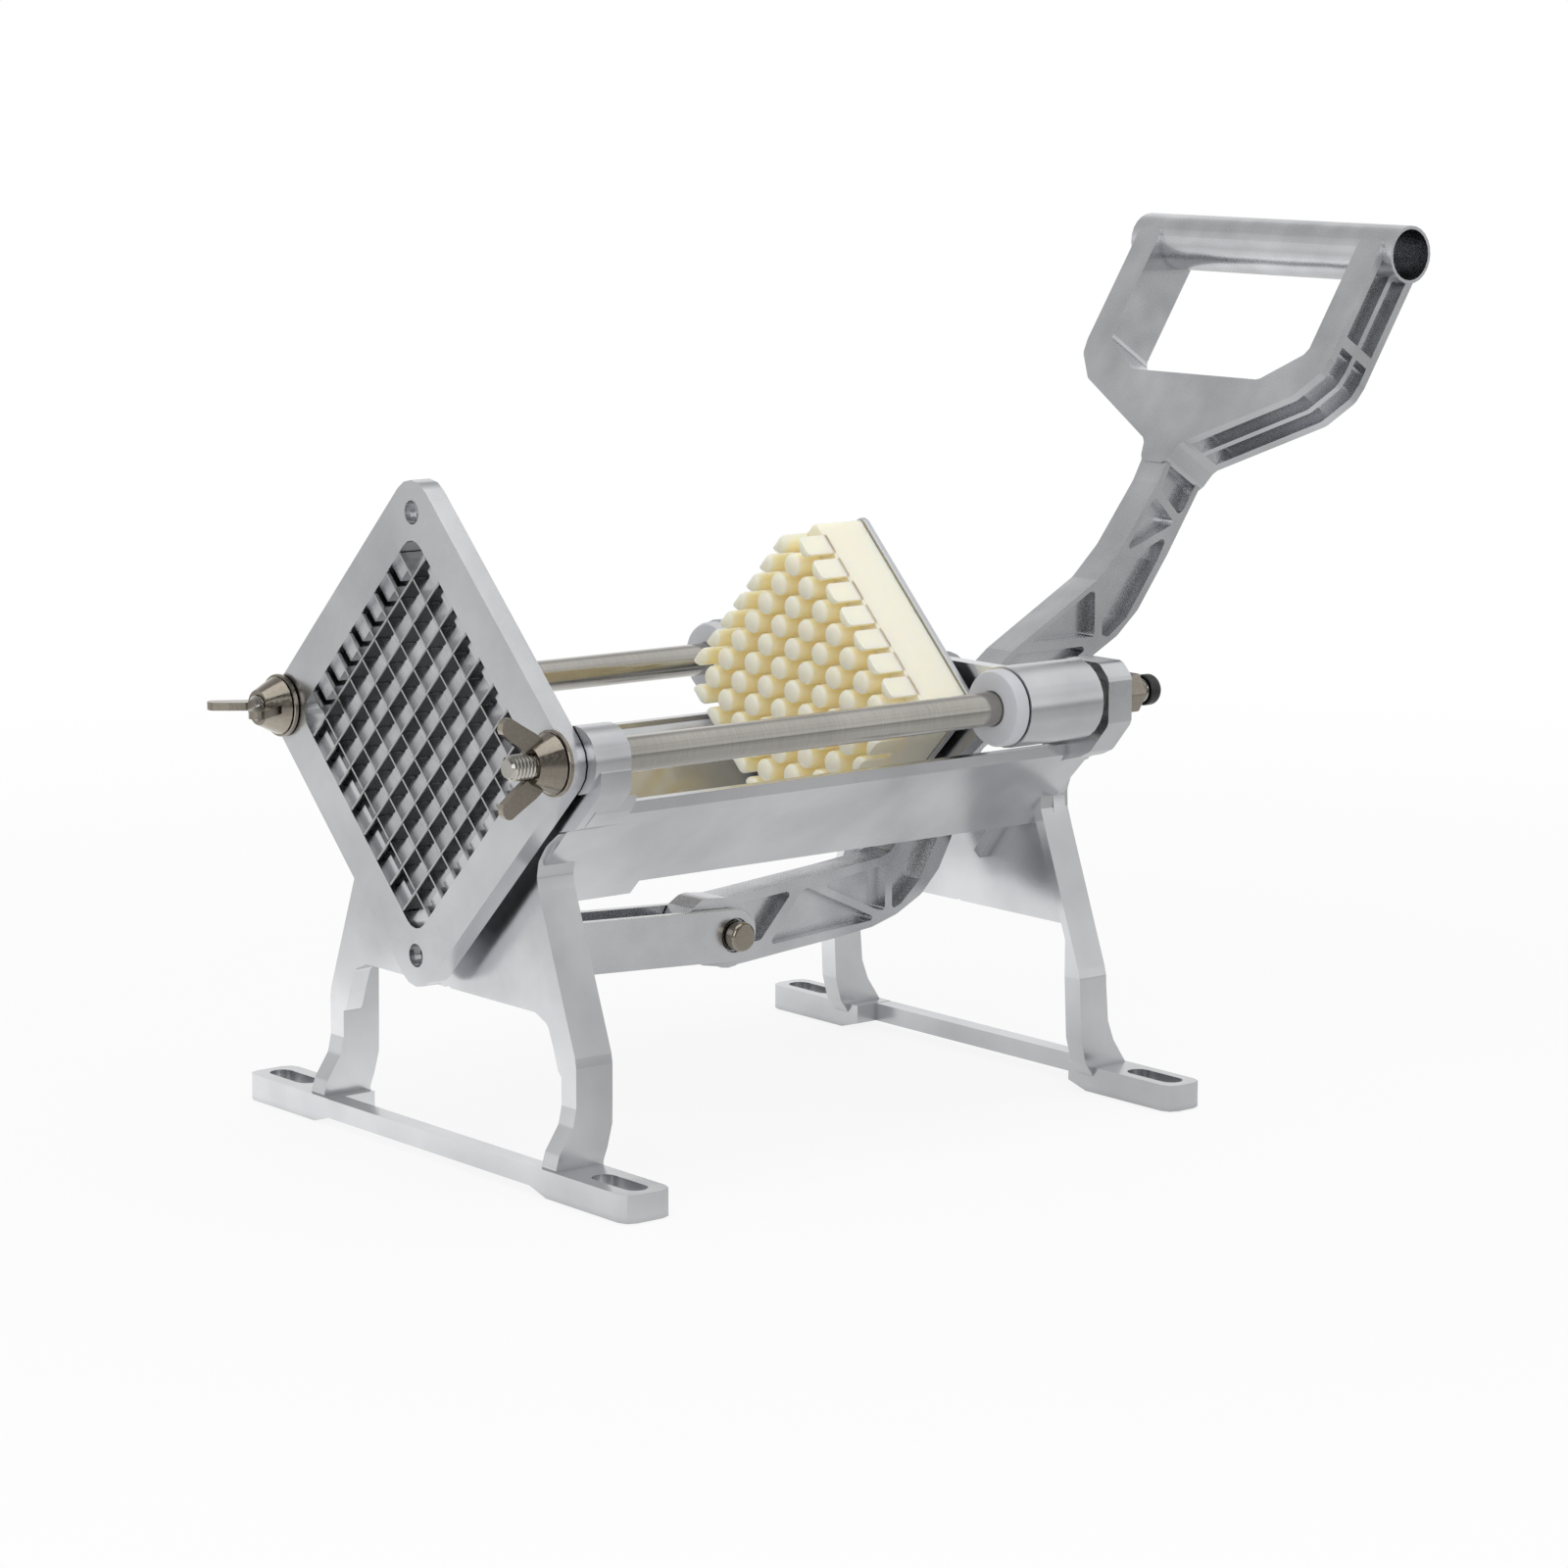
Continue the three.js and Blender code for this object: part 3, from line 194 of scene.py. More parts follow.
@dataclass(frozen=True)
class Metal:
    """A metal with grain, clouding, waviness and fine relief from noise in real sizes, and painted shade in
    its crevices.

    A strip with a ground front edge names the colour of that edge as its lip. Lengths are millimetres. Grain
    finer than about 0.3 mm wouldn't show in a render, so it is drawn that coarse.
    """

    name: str
    dark: str
    light: str
    smooth: float
    rough: float
    grain: Triple
    cloud: float = 45.0
    relief: float = 0.02
    wave_size: float = 26.0
    wave_height: float = 0.0
    painted_crevice_shade: float = 0.0
    painted_shade_reach: float = 6.0
    lip: str = ""
    lip_depth: Pair = (0.25, 0.5)
    speckle: float = 0.35
    grain_detail: float = 3.0
    grain_harshness: float = 0.6
    cloud_detail: float = 4.0
    relief_strength: float = 0.5

    def build(self) -> bpy.types.Material:
        """Builds the nodes of the metal.

        Returns:
            The material.
        """
        material, tree, shader = new_material(self.name)
        shader.inputs["Metallic"].default_value = 1.0
        coords = add_node(tree, "ShaderNodeTexCoord")
        scaling = [1 / (size * MM) for size in self.grain]
        stretch = add_node(tree, "ShaderNodeMapping", {"Scale": scaling},
                           {"Vector": coords.outputs["Object"]})
        grain = add_node(tree, "ShaderNodeTexNoise", {"Scale": 1.0, "Detail": self.grain_detail,
                                                      "Roughness": self.grain_harshness},
                         {"Vector": stretch.outputs[0]})
        cloud = add_node(tree, "ShaderNodeTexNoise", {"Scale": 1 / (self.cloud * MM),
                                                      "Detail": self.cloud_detail},
                         {"Vector": coords.outputs["Object"]})
        mixed = add_node(tree, "ShaderNodeMath", {1: self.speckle}, {0: grain.outputs["Fac"]},
                         operation="MULTIPLY")
        total = add_node(tree, "ShaderNodeMath", {1: 1 - self.speckle},
                         {0: cloud.outputs["Fac"], 2: mixed.outputs[0]}, operation="MULTIPLY_ADD")
        colour = add_node(tree, "ShaderNodeValToRGB", links={"Fac": total.outputs[0]})
        set_ramp(colour, [(NOISE_LOW, linear(self.dark)), (NOISE_HIGH, linear(self.light))])
        polish = add_node(tree, "ShaderNodeMapRange", {
            "From Min": NOISE_LOW, "From Max": NOISE_HIGH, "To Min": self.smooth, "To Max": self.rough,
        }, {"Value": grain.outputs["Fac"]})
        wave = add_node(tree, "ShaderNodeTexNoise", {"Scale": 1 / (self.wave_size * MM), "Detail": 1.0},
                        {"Vector": coords.outputs["Object"]})
        swell = add_node(tree, "ShaderNodeBump", {"Strength": 1.0, "Distance": self.wave_height * MM},
                         {"Height": wave.outputs["Fac"]})
        bump = add_node(tree, "ShaderNodeBump", {"Strength": self.relief_strength,
                                                 "Distance": self.relief * MM},
                        {"Height": grain.outputs["Fac"], "Normal": swell.outputs[0]})
        tinted = self.lipped(tree, coords, colour.outputs[0]) if self.lip else colour.outputs[0]
        # Painted shade: the colour darkens where other surfaces stand close
        if self.painted_crevice_shade:
            tinted = self.with_painted_crevice_shade(tree, tinted)
        tree.links.new(tinted, shader.inputs["Base Color"])
        tree.links.new(polish.outputs[0], shader.inputs["Roughness"])
        tree.links.new(bump.outputs[0], shader.inputs["Normal"])
        return material

    def with_painted_crevice_shade(self, tree: bpy.types.NodeTree, colour: bpy.types.NodeSocket) -> bpy.types.NodeSocket:
        """Paints shade into a colour where other surfaces stand close.

        Args:
            tree: Tree of the material.
            colour: Colour on open surfaces.

        Returns:
            The colour with its painted shade.
        """
        open_share = add_node(tree, "ShaderNodeAmbientOcclusion", {"Distance": self.painted_shade_reach * MM},
                              samples=OCCLUSION_SAMPLES)
        kept = add_node(tree, "ShaderNodeMapRange", {"To Min": 1 - self.painted_crevice_shade, "To Max": 1.0},
                        {"Value": open_share.outputs["AO"]})
        return add_node(tree, "ShaderNodeVectorMath", links={0: colour, "Scale": kept.outputs[0]},
                        operation="SCALE").outputs[0]

    def lipped(self, tree: bpy.types.NodeTree, coords: bpy.types.Node,
               colour: bpy.types.NodeSocket) -> bpy.types.NodeSocket:
        """Gives a colour a bright front edge.

        Args:
            tree: Tree of the material.
            coords: Texture coordinates.
            colour: Colour behind the edge.

        Returns:
            The colour with its edge.
        """
        parts = add_node(tree, "ShaderNodeSeparateXYZ", links={"Vector": coords.outputs["Object"]})
        start, end = self.lip_depth
        behind = add_node(tree, "ShaderNodeMapRange", {
            "From Min": BLADE_FRONT + start * MM, "From Max": BLADE_FRONT + end * MM,
        }, {"Value": parts.outputs["X"]})
        mixed = add_node(tree, "ShaderNodeMix", links={0: behind.outputs[0], 7: colour}, data_type="RGBA")
        mixed.inputs[6].default_value = linear(self.lip)
        return mixed.outputs[2]


@dataclass(frozen=True)
class Plastic:
    """A moulded plastic that is pale on open faces, with painted shade and painted bounce light that deepen
    its colour where walls stand close.

    Its glow is painted light, standing for the light that a milky plastic passes on from its far side.
    Lengths are millimetres.
    """

    name: str
    painted_shade_colour: str
    pale: str
    rough: float
    translucence: float = 0.0
    mottle: float = 6.0
    reach: float = 9.0
    depth: float = 1.5
    glow: float = 0.0
    scatter: Triple = (1.0, 0.8, 0.45)
    mottle_detail: float = 3.0
    mottle_share: float = 0.12
    painted_shade_until: float = 0.15
    pale_from: float = 0.8
    gloss_spread: Pair = (0.85, 1.2)

    def build(self) -> bpy.types.Material:
        """Builds the nodes of the plastic.

        Returns:
            The material.
        """
        material, tree, shader = new_material(self.name)
        shader.inputs["Subsurface Weight"].default_value = self.translucence
        shader.inputs["Subsurface Radius"].default_value = self.scatter
        shader.inputs["Subsurface Scale"].default_value = self.depth * MM
        coords = add_node(tree, "ShaderNodeTexCoord")
        noise = add_node(tree, "ShaderNodeTexNoise", {"Scale": 1 / (self.mottle * MM),
                                                      "Detail": self.mottle_detail},
                         {"Vector": coords.outputs["Object"]})
        # Painted shade and bounce light: the colour deepens where occlusion finds walls close by
        open_share = add_node(tree, "ShaderNodeAmbientOcclusion", {"Distance": self.reach * MM},
                              samples=OCCLUSION_SAMPLES)
        ragged = add_node(tree, "ShaderNodeMath", {1: self.mottle_share},
                          {0: noise.outputs["Fac"], 2: open_share.outputs["AO"]}, operation="MULTIPLY_ADD")
        colour = add_node(tree, "ShaderNodeValToRGB", links={"Fac": ragged.outputs[0]})
        set_ramp(colour, [(self.painted_shade_until, linear(self.painted_shade_colour)), (self.pale_from, linear(self.pale))])
        least, most = self.gloss_spread
        gloss = add_node(tree, "ShaderNodeMapRange", {
            "To Min": self.rough * least, "To Max": self.rough * most,
        }, {"Value": noise.outputs["Fac"]})
        tree.links.new(colour.outputs[0], shader.inputs["Base Color"])
        # Painted glow in the ramp's colour, warmest where the painted shade is
        tree.links.new(colour.outputs[0], shader.inputs["Emission Color"])
        shader.inputs["Emission Strength"].default_value = self.glow
        tree.links.new(gloss.outputs[0], shader.inputs["Roughness"])
        return material


Finish = Metal | Plastic

# Polished aluminium casting: bright, faintly clouded and wavy from hand buffing, with a fine even grain and
# painted shade in its crevices
CAST_ALUMINIUM = Metal("polished_cast_aluminium", "BEBFC2", "DCDDDF", 0.18, 0.27, (0.5, 0.5, 0.5),
                       relief=0.003, wave_height=0.5, painted_crevice_shade=0.35, painted_shade_reach=2.5, speckle=0.15)
# The same alloy as it leaves the tumbler: shorter waves, a rougher skin and painted shade in its pockets
TUMBLED_ALUMINIUM = Metal("tumbled_cast_aluminium", "BEBFC2", "E0E1E4", 0.2, 0.32, (0.5, 0.5, 0.5),
                          cloud=30.0, relief=0.002, wave_size=18.0, wave_height=0.5, painted_crevice_shade=0.3,
                          painted_shade_reach=2.5, speckle=0.2)
# Rolled aluminium sheet: a long fine grain along one direction
ROLLED_ALUMINIUM = Metal("rolled_aluminium_sheet", "BBBCBF", "D2D3D5", 0.28, 0.4, (0.3, 8.0, 0.3))
# Steel strip with a ground front edge: one set is polished and mirrors the light; the other set is the same
# steel with its faces painted dark, a painted reflection of a dark room
BRIGHT_STRIP = Metal("polished_steel_strip", "A2A3A5", "C2C3C5", 0.14, 0.26, (0.4, 9.0, 9.0), cloud=12.0,
                     relief=0.004, lip="BCBCBC")
STEEL_PAINTED_DARK_REFLECTION = Metal("steel_strip_painted_dark_reflection", "4A4B4E", "68696C", 0.2, 0.34, (0.4, 9.0, 9.0), cloud=12.0,
                   lip="BCBCBC")
# Stainless rod, polished on a lathe: streaks round it, sharp bright and dark bands along it
ROD_STEEL = Metal("polished_stainless_rod", "A19E98", "BFBCB6", 0.1, 0.2, (0.35, 6.0, 6.0), relief=0.004)
# Plated small hardware: warm, darker than the castings, slightly worn, with painted shade in its crevices
NICKEL_PLATE = Metal("nickel_plated_steel", "7E776C", "A8A196", 0.1, 0.24, (0.9, 0.9, 0.9), relief=0.01,
                     painted_crevice_shade=0.5, painted_shade_reach=4.0)
# Moulded acetal: near white on its open faces, with warm ivory painted shade and bounce light between the
# pegs and a faint painted glow
IVORY_ACETAL = Plastic("moulded_ivory_acetal", "F3E4B2", "F2EEDC", 0.4, 0.8, depth=5.0, glow=0.08)
# Turned nylon: plain white, slightly waxy, a little darker with painted shade where walls stand close
WHITE_NYLON = Plastic("turned_white_nylon", "BFC1C6", "CBCCD1", 0.42, 0.15)
# Black vinyl end caps: smooth and half glossy, with faint painted shade in hollows
BLACK_VINYL = Plastic("dipped_black_vinyl", "141416", "1B1B1D", 0.35)


class Palette:
    """Builds each finish once and gives it to the pieces of its slot."""

    FINISHES = {
        Slot.CAST: CAST_ALUMINIUM, Slot.PLATE: ROLLED_ALUMINIUM, Slot.BLADE: BRIGHT_STRIP,
        Slot.STEEL: ROD_STEEL, Slot.NICKEL: NICKEL_PLATE, Slot.IVORY: IVORY_ACETAL,
        Slot.NYLON: WHITE_NYLON, Slot.BLACK: BLACK_VINYL,
    }

    def __init__(self) -> None:
        """Starts without any material."""
        self.built: dict[Finish, bpy.types.Material] = {}

    def material(self, slot: Slot, finish: Finish | None = None) -> bpy.types.Material:
        """Returns the material of a finish, or of a slot's usual one.

        Args:
            slot: Slot of the record.
            finish: Finish that differs from the usual one of the slot.

        Returns:
            The material, built when it is first asked for.
        """
        wanted = finish or self.FINISHES[slot]
        if wanted not in self.built:
            self.built[wanted] = wanted.build()
        return self.built[wanted]

    def dress_node(self, node: str, slot: Slot) -> None:
        """Gives a CAD node the usual finish of its slot, in place.

        Args:
            node: Name of the node.
            slot: Slot of the record that the finish belongs to.
        """
        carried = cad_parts[node]
        if not carried.material_slots:
            carried.data.materials.append(None)
        carried.material_slots[0].material = self.material(slot)
        LOG.info("%s keeps its CAD shape in %s", node, slot.value)

    def place(self, piece: bpy.types.Object, body: str, slot: Slot, *nodes: str,
              finish: Finish | None = None) -> None:
        """Dresses a finished piece and lets it stand for its CAD nodes.

        Args:
            piece: Mesh object with its place in its mesh.
            body: Body that the piece moves with.
            slot: Slot of the record that the finish belongs to.
            nodes: CAD nodes that the piece replaces.
            finish: Finish that differs from the usual one of the slot.
        """
        piece.data.materials.clear()
        piece.data.materials.append(self.material(slot, finish))
        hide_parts(*nodes)
        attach(piece, body)
        LOG.info("%s: %d faces on %s", piece.name, len(piece.data.polygons), body)

    def place_rounded(self, node: str, body: str, slot: Slot, width: float, finish: Finish | None = None,
                      **rounding: float) -> None:
        """Lets a copy of a CAD node stand for it, rounded by a width in millimetres as in soften."""
        self.place(soften(merged_copy(node), width, **rounding), body, slot, node, finish=finish)


def object_from(shape: bmesh.types.BMesh, name: str) -> bpy.types.Object:
    """Makes an object of a finished bmesh and frees it.

    Args:
        shape: The mesh.
        name: Name of the piece.

    Returns:
        The linked object.
    """
    mesh = bpy.data.meshes.new(name)
    shape.to_mesh(mesh)
    shape.free()
    piece = bpy.data.objects.new(name, mesh)
    bpy.context.scene.collection.objects.link(piece)
    return piece


def evaluated_mesh(piece: bpy.types.Object) -> bpy.types.Mesh:
    """Applies the modifiers of a piece to a mesh of its own.

    Args:
        piece: Object with or without modifiers.

    Returns:
        The new mesh. The piece keeps its old one.
    """
    graph = bpy.context.evaluated_depsgraph_get()
    graph.update()
    return bpy.data.meshes.new_from_object(piece.evaluated_get(graph))


def settle(piece: bpy.types.Object, smooth_degrees: float = 32.0) -> bpy.types.Object:
    """Applies the modifiers of a piece and smooths its shading below an angle.

    Args:
        piece: Object with or without modifiers.
        smooth_degrees: Edges sharper than this stay crisp.

    Returns:
        The same object, with plain mesh data.
    """
    mesh = evaluated_mesh(piece)
    mesh.name = piece.name
    piece.modifiers.clear()
    piece.data = mesh
    mesh.shade_smooth()
    mesh.set_sharp_from_angle(angle=math.radians(smooth_degrees))
    return piece


def soften(piece: bpy.types.Object, width: float, segments: int = EDGE_STEPS,
           angle: float = EDGE_DEGREES) -> bpy.types.Object:
    """Rounds the edges of a piece and evens its shading.

    Args:
        piece: Object to round.
        width: Width of the rounding in millimetres.
        segments: Steps across each rounding.
        angle: Edges that turn less than this stay as they are.

    Returns:
        The same object, with plain mesh data.
    """
    bevel = piece.modifiers.new("rounding", "BEVEL")
    bevel.width = width * MM
    bevel.segments = segments
    bevel.limit_method = "ANGLE"
    bevel.angle_limit = math.radians(angle)
    bevel.use_clamp_overlap = True
    bevel.miter_outer = "MITER_ARC"
    settle(piece, SOFT_SHADING_DEGREES)
    even = piece.modifiers.new("even_shading", "WEIGHTED_NORMAL")
    even.keep_sharp = True
    mesh = evaluated_mesh(piece)
    piece.modifiers.clear()
    piece.data = mesh
    return piece


def merged_copy(node: str) -> bpy.types.Object:
    """Copies a CAD node with its loose triangles joined and its flat faces whole.

    Args:
        node: Name of the node.

    Returns:
        The copy, in the same place.
    """
    shape = bmesh.new()
    shape.from_mesh(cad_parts[node].data)
    bmesh.ops.remove_doubles(shape, verts=shape.verts, dist=WELD)
    bmesh.ops.dissolve_limit(shape, angle_limit=math.radians(FLAT_DEGREES), verts=shape.verts,
                             edges=shape.edges)
    return object_from(shape, f"{node}_finished")


def cut_off(shape: bmesh.types.BMesh, place: Vector, normal: Triple) -> None:
    """Cuts off what lies beyond a plane and closes the cut.

    Args:
        shape: Mesh to cut.
        place: Point of the plane, in metres.
        normal: Way from the plane to what goes.
    """
    cut = bmesh.ops.bisect_plane(shape, geom=[*shape.verts, *shape.edges, *shape.faces], clear_outer=True,
                                 plane_co=place, plane_no=normal)
    edges = [e for e in cut["geom_cut"] if isinstance(e, bmesh.types.BMEdge)]
    bmesh.ops.holes_fill(shape, edges=edges, sides=0)


def lathe(name: str, profile: list[Pair], centre: Pair, steps: int = ROUND_STEPS) -> bpy.types.Object:
    """Turns a closed profile round an axis along X.

    Args:
        name: Name of the piece.
        profile: Radius and x of each point, in millimetres. It starts and ends on the axis, or closes on
            itself where its first point comes again at the end.
        centre: Y and z of the axis in millimetres.
        steps: Sides of the round.

    Returns:
        The piece, with outward faces.
    """
    shape = bmesh.new()
    rings = []
    for radius, along in profile:
        ring = []
        for i in range(steps if radius > 0 else 1):
            angle = 2 * math.pi * i / steps
            across, up = radius * math.cos(angle), radius * math.sin(angle)
            ring.append(shape.verts.new(at(along, centre[0] + across, centre[1] + up)))
        rings.append(ring)
    for first, second in zip(rings, rings[1:]):
        for i in range(steps):
            corners = [first[i % len(first)], first[(i + 1) % len(first)],
                       second[(i + 1) % len(second)], second[i % len(second)]]
            corners = list(dict.fromkeys(corners))
            if len(corners) >= TRIANGLE:
                shape.faces.new(corners)
    bmesh.ops.remove_doubles(shape, verts=shape.verts, dist=WELD)
    bmesh.ops.recalc_face_normals(shape, faces=shape.faces)
    return settle(object_from(shape, name))


def thread_profile(start: float, end: float, radius: float, pitch: float, depth: float) -> list[Pair]:
    """Profile of a cut thread as flat crests and roots.

    Args:
        start: Where the thread starts along its axis.
        end: Where it ends.
        radius: Outer radius.
        pitch: Distance between crests.
        depth: Height of a crest over its root.

    Returns:
        Radius and distance of each point.
    """
    turns = int((end - start) / pitch)
    points = []
    for i in range(turns):
        base = start + i * pitch
        points += [(radius - depth, base), (radius, base + CREST_START * pitch),
                   (radius, base + CREST_END * pitch), (radius - depth, base + ROOT_START * pitch)]
    return points


@dataclass
class Camera:
    """Camera at the place of the one that took the photograph, found from grid, rods and feet.

    Angles are degrees, the distance and the target millimetres, and the focal share a share of the frame.
    """

    azimuth: float = -39.5
    elevation: float = 9.582
    roll: float = 0.213
    distance: float = 1430.342
    target: Triple = (141.794, 0.0, 100.094)
    focal_share: float = 4590.607 / 1600
    sensor: float = 36.0
    far_clip: float = 20.0

    def build(self) -> None:
        """Makes the camera the scene's own."""
        a, e, r = (math.radians(v) for v in (self.azimuth, self.elevation, self.roll))
        forward = Vector((-math.sin(a) * math.cos(e), math.cos(a) * math.cos(e), -math.sin(e)))
        level = Vector((math.cos(a), math.sin(a), 0))
        over = level.cross(forward)
        right = math.cos(r) * level + math.sin(r) * over
        up = right.cross(forward)
        data = bpy.data.cameras.new("photo_camera")
        data.sensor_width = self.sensor
        data.lens = self.sensor * self.focal_share
        data.clip_end = self.far_clip
        camera = bpy.data.objects.new("photo_camera", data)
        turn = Matrix((right, up, -forward)).transposed().to_4x4()
        camera.matrix_world = Matrix.Translation(at(*self.target) - forward * self.distance * MM) @ turn
        bpy.context.scene.collection.objects.link(camera)
        bpy.context.scene.camera = camera


@dataclass
class Lamp:
    """A soft box that points at the middle of the cutter. Its place and size are metres."""

    name: str
    place: Triple
    size: Pair
    watts: float
    aim: Triple = (0, 0, 0.12)

    def build(self) -> None:
        """Adds the lamp to the scene."""
        data = bpy.data.lights.new(self.name, "AREA")
        data.shape = "RECTANGLE"
        data.size, data.size_y = self.size
        data.energy = self.watts
        lamp = bpy.data.objects.new(self.name, data)
        lamp.location = self.place
        lamp.rotation_euler = (Vector(self.aim) - lamp.location).to_track_quat("-Z", "Y").to_euler()
        bpy.context.scene.collection.objects.link(lamp)


@dataclass
class Studio:
    """White sweep with large soft boxes, a pale floor that keeps a faint shadow, and a dimmer room in front.

    Metals mirror tones of their own. Those of the floor run along mirror_way, the way in which upright near
    faces send the camera's view, over one metre to each side of the middle. A bright window stands where the
    faces of one set of blades send it. Places and lengths are metres.
    """

    floor_half: float = 12.0
    floor_drop: float = 0.0004
    shadow_share: float = 0.14
    shadow_start: float = 0.3
    shadow_end: float = 0.9
    mirror_way: Triple = (0.636, -0.772, 0.0)
    mirror_tones: tuple[Pair, ...] = (
        (0.0, 0.53), (0.05, 0.64), (0.2, 0.64), (0.28, 0.64), (0.35, 0.96), (0.42, 0.9), (0.5, 0.55),
        (0.58, 0.52), (0.63, 0.54), (0.68, 0.46), (0.78, 0.44), (0.89, 0.44), (0.95, 0.39), (1.0, 0.33),
    )
    mirror_strength: float = 1.3
    floor_colour: str = "F2F2F2"
    height_tones: tuple[Pair, ...] = (
        (0.0, 0.42), (0.4, 0.36), (0.52, 0.3), (0.66, 0.62), (1.0, 0.95),
    )
    room_strength: float = 0.75
    room_side: Triple = (-0.627, -0.761, 0.166)
    room_start: float = -0.25
    room_end: float = 0.8
    room_tone: float = 0.3
    ceiling_start: float = 0.02
    ceiling_end: float = 0.8
    ceiling_tone: float = 0.45
    window_way: Triple = (0.627, -0.166, 0.761)
    window_start: float = 0.82
    window_end: float = 0.97
    window_tone: float = 0.48

    def build(self) -> None:
        """Makes world, lamps and floor."""
        bpy.context.scene.view_settings.view_transform = "Standard"
        self.world()
        for lamp in (
            Lamp("overhead_soft_box", (-0.2, -0.3, 1.7), (1.6, 1.6), 10.0),
            Lamp("front_soft_box", (-1.6, -1.5, 1.0), (1.2, 1.4), 9.0),
            Lamp("side_soft_box", (1.3, -1.6, 0.8), (0.8, 1.2), 0.8),
            Lamp("back_soft_box", (0.9, 1.7, 1.0), (1.2, 1.0), 0.8),
        ):
            lamp.build()
        self.floor()

    def world(self) -> None:
        """White for the camera, a dimmer room for mirrored rays, and softer light for the rest."""
        world = bpy.data.worlds.new("studio")
        bpy.context.scene.world = world
        world.use_nodes = True
        tree = world.node_tree
        tree.nodes.clear()
        coords = add_node(tree, "ShaderNodeTexCoord")
        parts = add_node(tree, "ShaderNodeSeparateXYZ", links={"Vector": coords.outputs["Generated"]})
        height = add_node(tree, "ShaderNodeMapRange", {"From Min": -1.0, "From Max": 1.0},
                          {"Value": parts.outputs["Z"]})
        tone = add_node(tree, "ShaderNodeValToRGB", links={"Fac": height.outputs[0]})
        set_ramp(tone, [(place, grey(value)) for place, value in self.height_tones])
        room = add_node(tree, "ShaderNodeBackground", {"Strength": self.room_strength},
                        {"Color": tone.outputs[0]})
        facing = add_node(tree, "ShaderNodeVectorMath", {1: self.room_side}, {0: coords.outputs["Generated"]},
                          operation="DOT_PRODUCT")
        dimmed = add_node(tree, "ShaderNodeMapRange", {
            "From Min": self.room_start, "From Max": self.room_end, "To Min": 1.0, "To Max": self.room_tone,
        }, {"Value": facing.outputs["Value"]})
        ceiling = add_node(tree, "ShaderNodeMapRange", {
            "From Min": self.ceiling_start, "From Max": self.ceiling_end, "To Min": 1.0,
            "To Max": self.ceiling_tone,
        }, {"Value": parts.outputs["Z"]})
        mirrored = add_node(tree, "ShaderNodeMath", links={0: dimmed.outputs[0], 1: ceiling.outputs[0]},
                            operation="MULTIPLY")
        toward = add_node(tree, "ShaderNodeVectorMath", {1: self.window_way},
                          {0: coords.outputs["Generated"]}, operation="DOT_PRODUCT")
        window = add_node(tree, "ShaderNodeMapRange", {
            "From Min": self.window_start, "From Max": self.window_end, "To Max": self.window_tone,
        }, {"Value": toward.outputs["Value"]})
        all_light = add_node(tree, "ShaderNodeMath", links={0: mirrored.outputs[0], 1: window.outputs[0]},
                             operation="ADD")
        mirror = add_node(tree, "ShaderNodeBackground", {"Strength": 1.0}, {"Color": all_light.outputs[0]})
        white = add_node(tree, "ShaderNodeBackground", {"Color": grey(1.0), "Strength": 1.0})
        rays = add_node(tree, "ShaderNodeLightPath")
        glossy = add_node(tree, "ShaderNodeMixShader", links={
            0: rays.outputs["Is Glossy Ray"], 1: room.outputs[0], 2: mirror.outputs[0]})
        through = add_node(tree, "ShaderNodeMath", links={
            0: rays.outputs["Is Camera Ray"], 1: rays.outputs["Is Transmission Ray"]}, operation="MAXIMUM")
        seen = add_node(tree, "ShaderNodeMixShader", links={
            0: through.outputs[0], 1: glossy.outputs[0], 2: white.outputs[0]})
        add_node(tree, "ShaderNodeOutputWorld", links={"Surface": seen.outputs[0]})

    def floor(self) -> None:
        """White floor, lit only in part and less with distance, so that the shadow stays faint.

        Metals mirror its tones in place of its light.
        """
        shape = bmesh.new()
        bmesh.ops.create_grid(shape, x_segments=1, y_segments=1, size=self.floor_half)
        bmesh.ops.translate(shape, verts=shape.verts, vec=(0, 0, -self.floor_drop))
        floor = object_from(shape, "studio_floor")
        material = bpy.data.materials.new("matt_white_floor")
        material.use_nodes = True
        tree = material.node_tree
        tree.nodes.clear()
        coords = add_node(tree, "ShaderNodeTexCoord")
        away = add_node(tree, "ShaderNodeVectorMath", links={0: coords.outputs["Object"]}, operation="LENGTH")
        whiteness = add_node(tree, "ShaderNodeMapRange", {
            "From Min": self.shadow_start, "From Max": self.shadow_end, "To Min": 1 - self.shadow_share,
            "To Max": 1.0,
        }, {"Value": away.outputs["Value"]})
        rays = add_node(tree, "ShaderNodeLightPath")
        direct = add_node(tree, "ShaderNodeMath", links={
            0: rays.outputs["Is Camera Ray"], 1: rays.outputs["Is Transmission Ray"]}, operation="MAXIMUM")
        shown = add_node(tree, "ShaderNodeMath", links={0: direct.outputs[0], 1: whiteness.outputs[0]},
                         operation="MULTIPLY")
        along = add_node(tree, "ShaderNodeVectorMath", {1: self.mirror_way}, {0: coords.outputs["Object"]},
                         operation="DOT_PRODUCT")
        place = add_node(tree, "ShaderNodeMapRange", {"From Min": -1.0, "From Max": 1.0},
                         {"Value": along.outputs["Value"]})
        tones = add_node(tree, "ShaderNodeValToRGB", links={"Fac": place.outputs[0]})
        set_ramp(tones, [(share, grey(tone)) for share, tone in self.mirror_tones])
        lit = add_node(tree, "ShaderNodeBsdfDiffuse", {"Color": linear(self.floor_colour)})
        white = add_node(tree, "ShaderNodeEmission", {"Color": grey(1.0), "Strength": 1.0})
        plain = add_node(tree, "ShaderNodeMixShader", links={
            0: shown.outputs[0], 1: lit.outputs[0], 2: white.outputs[0]})
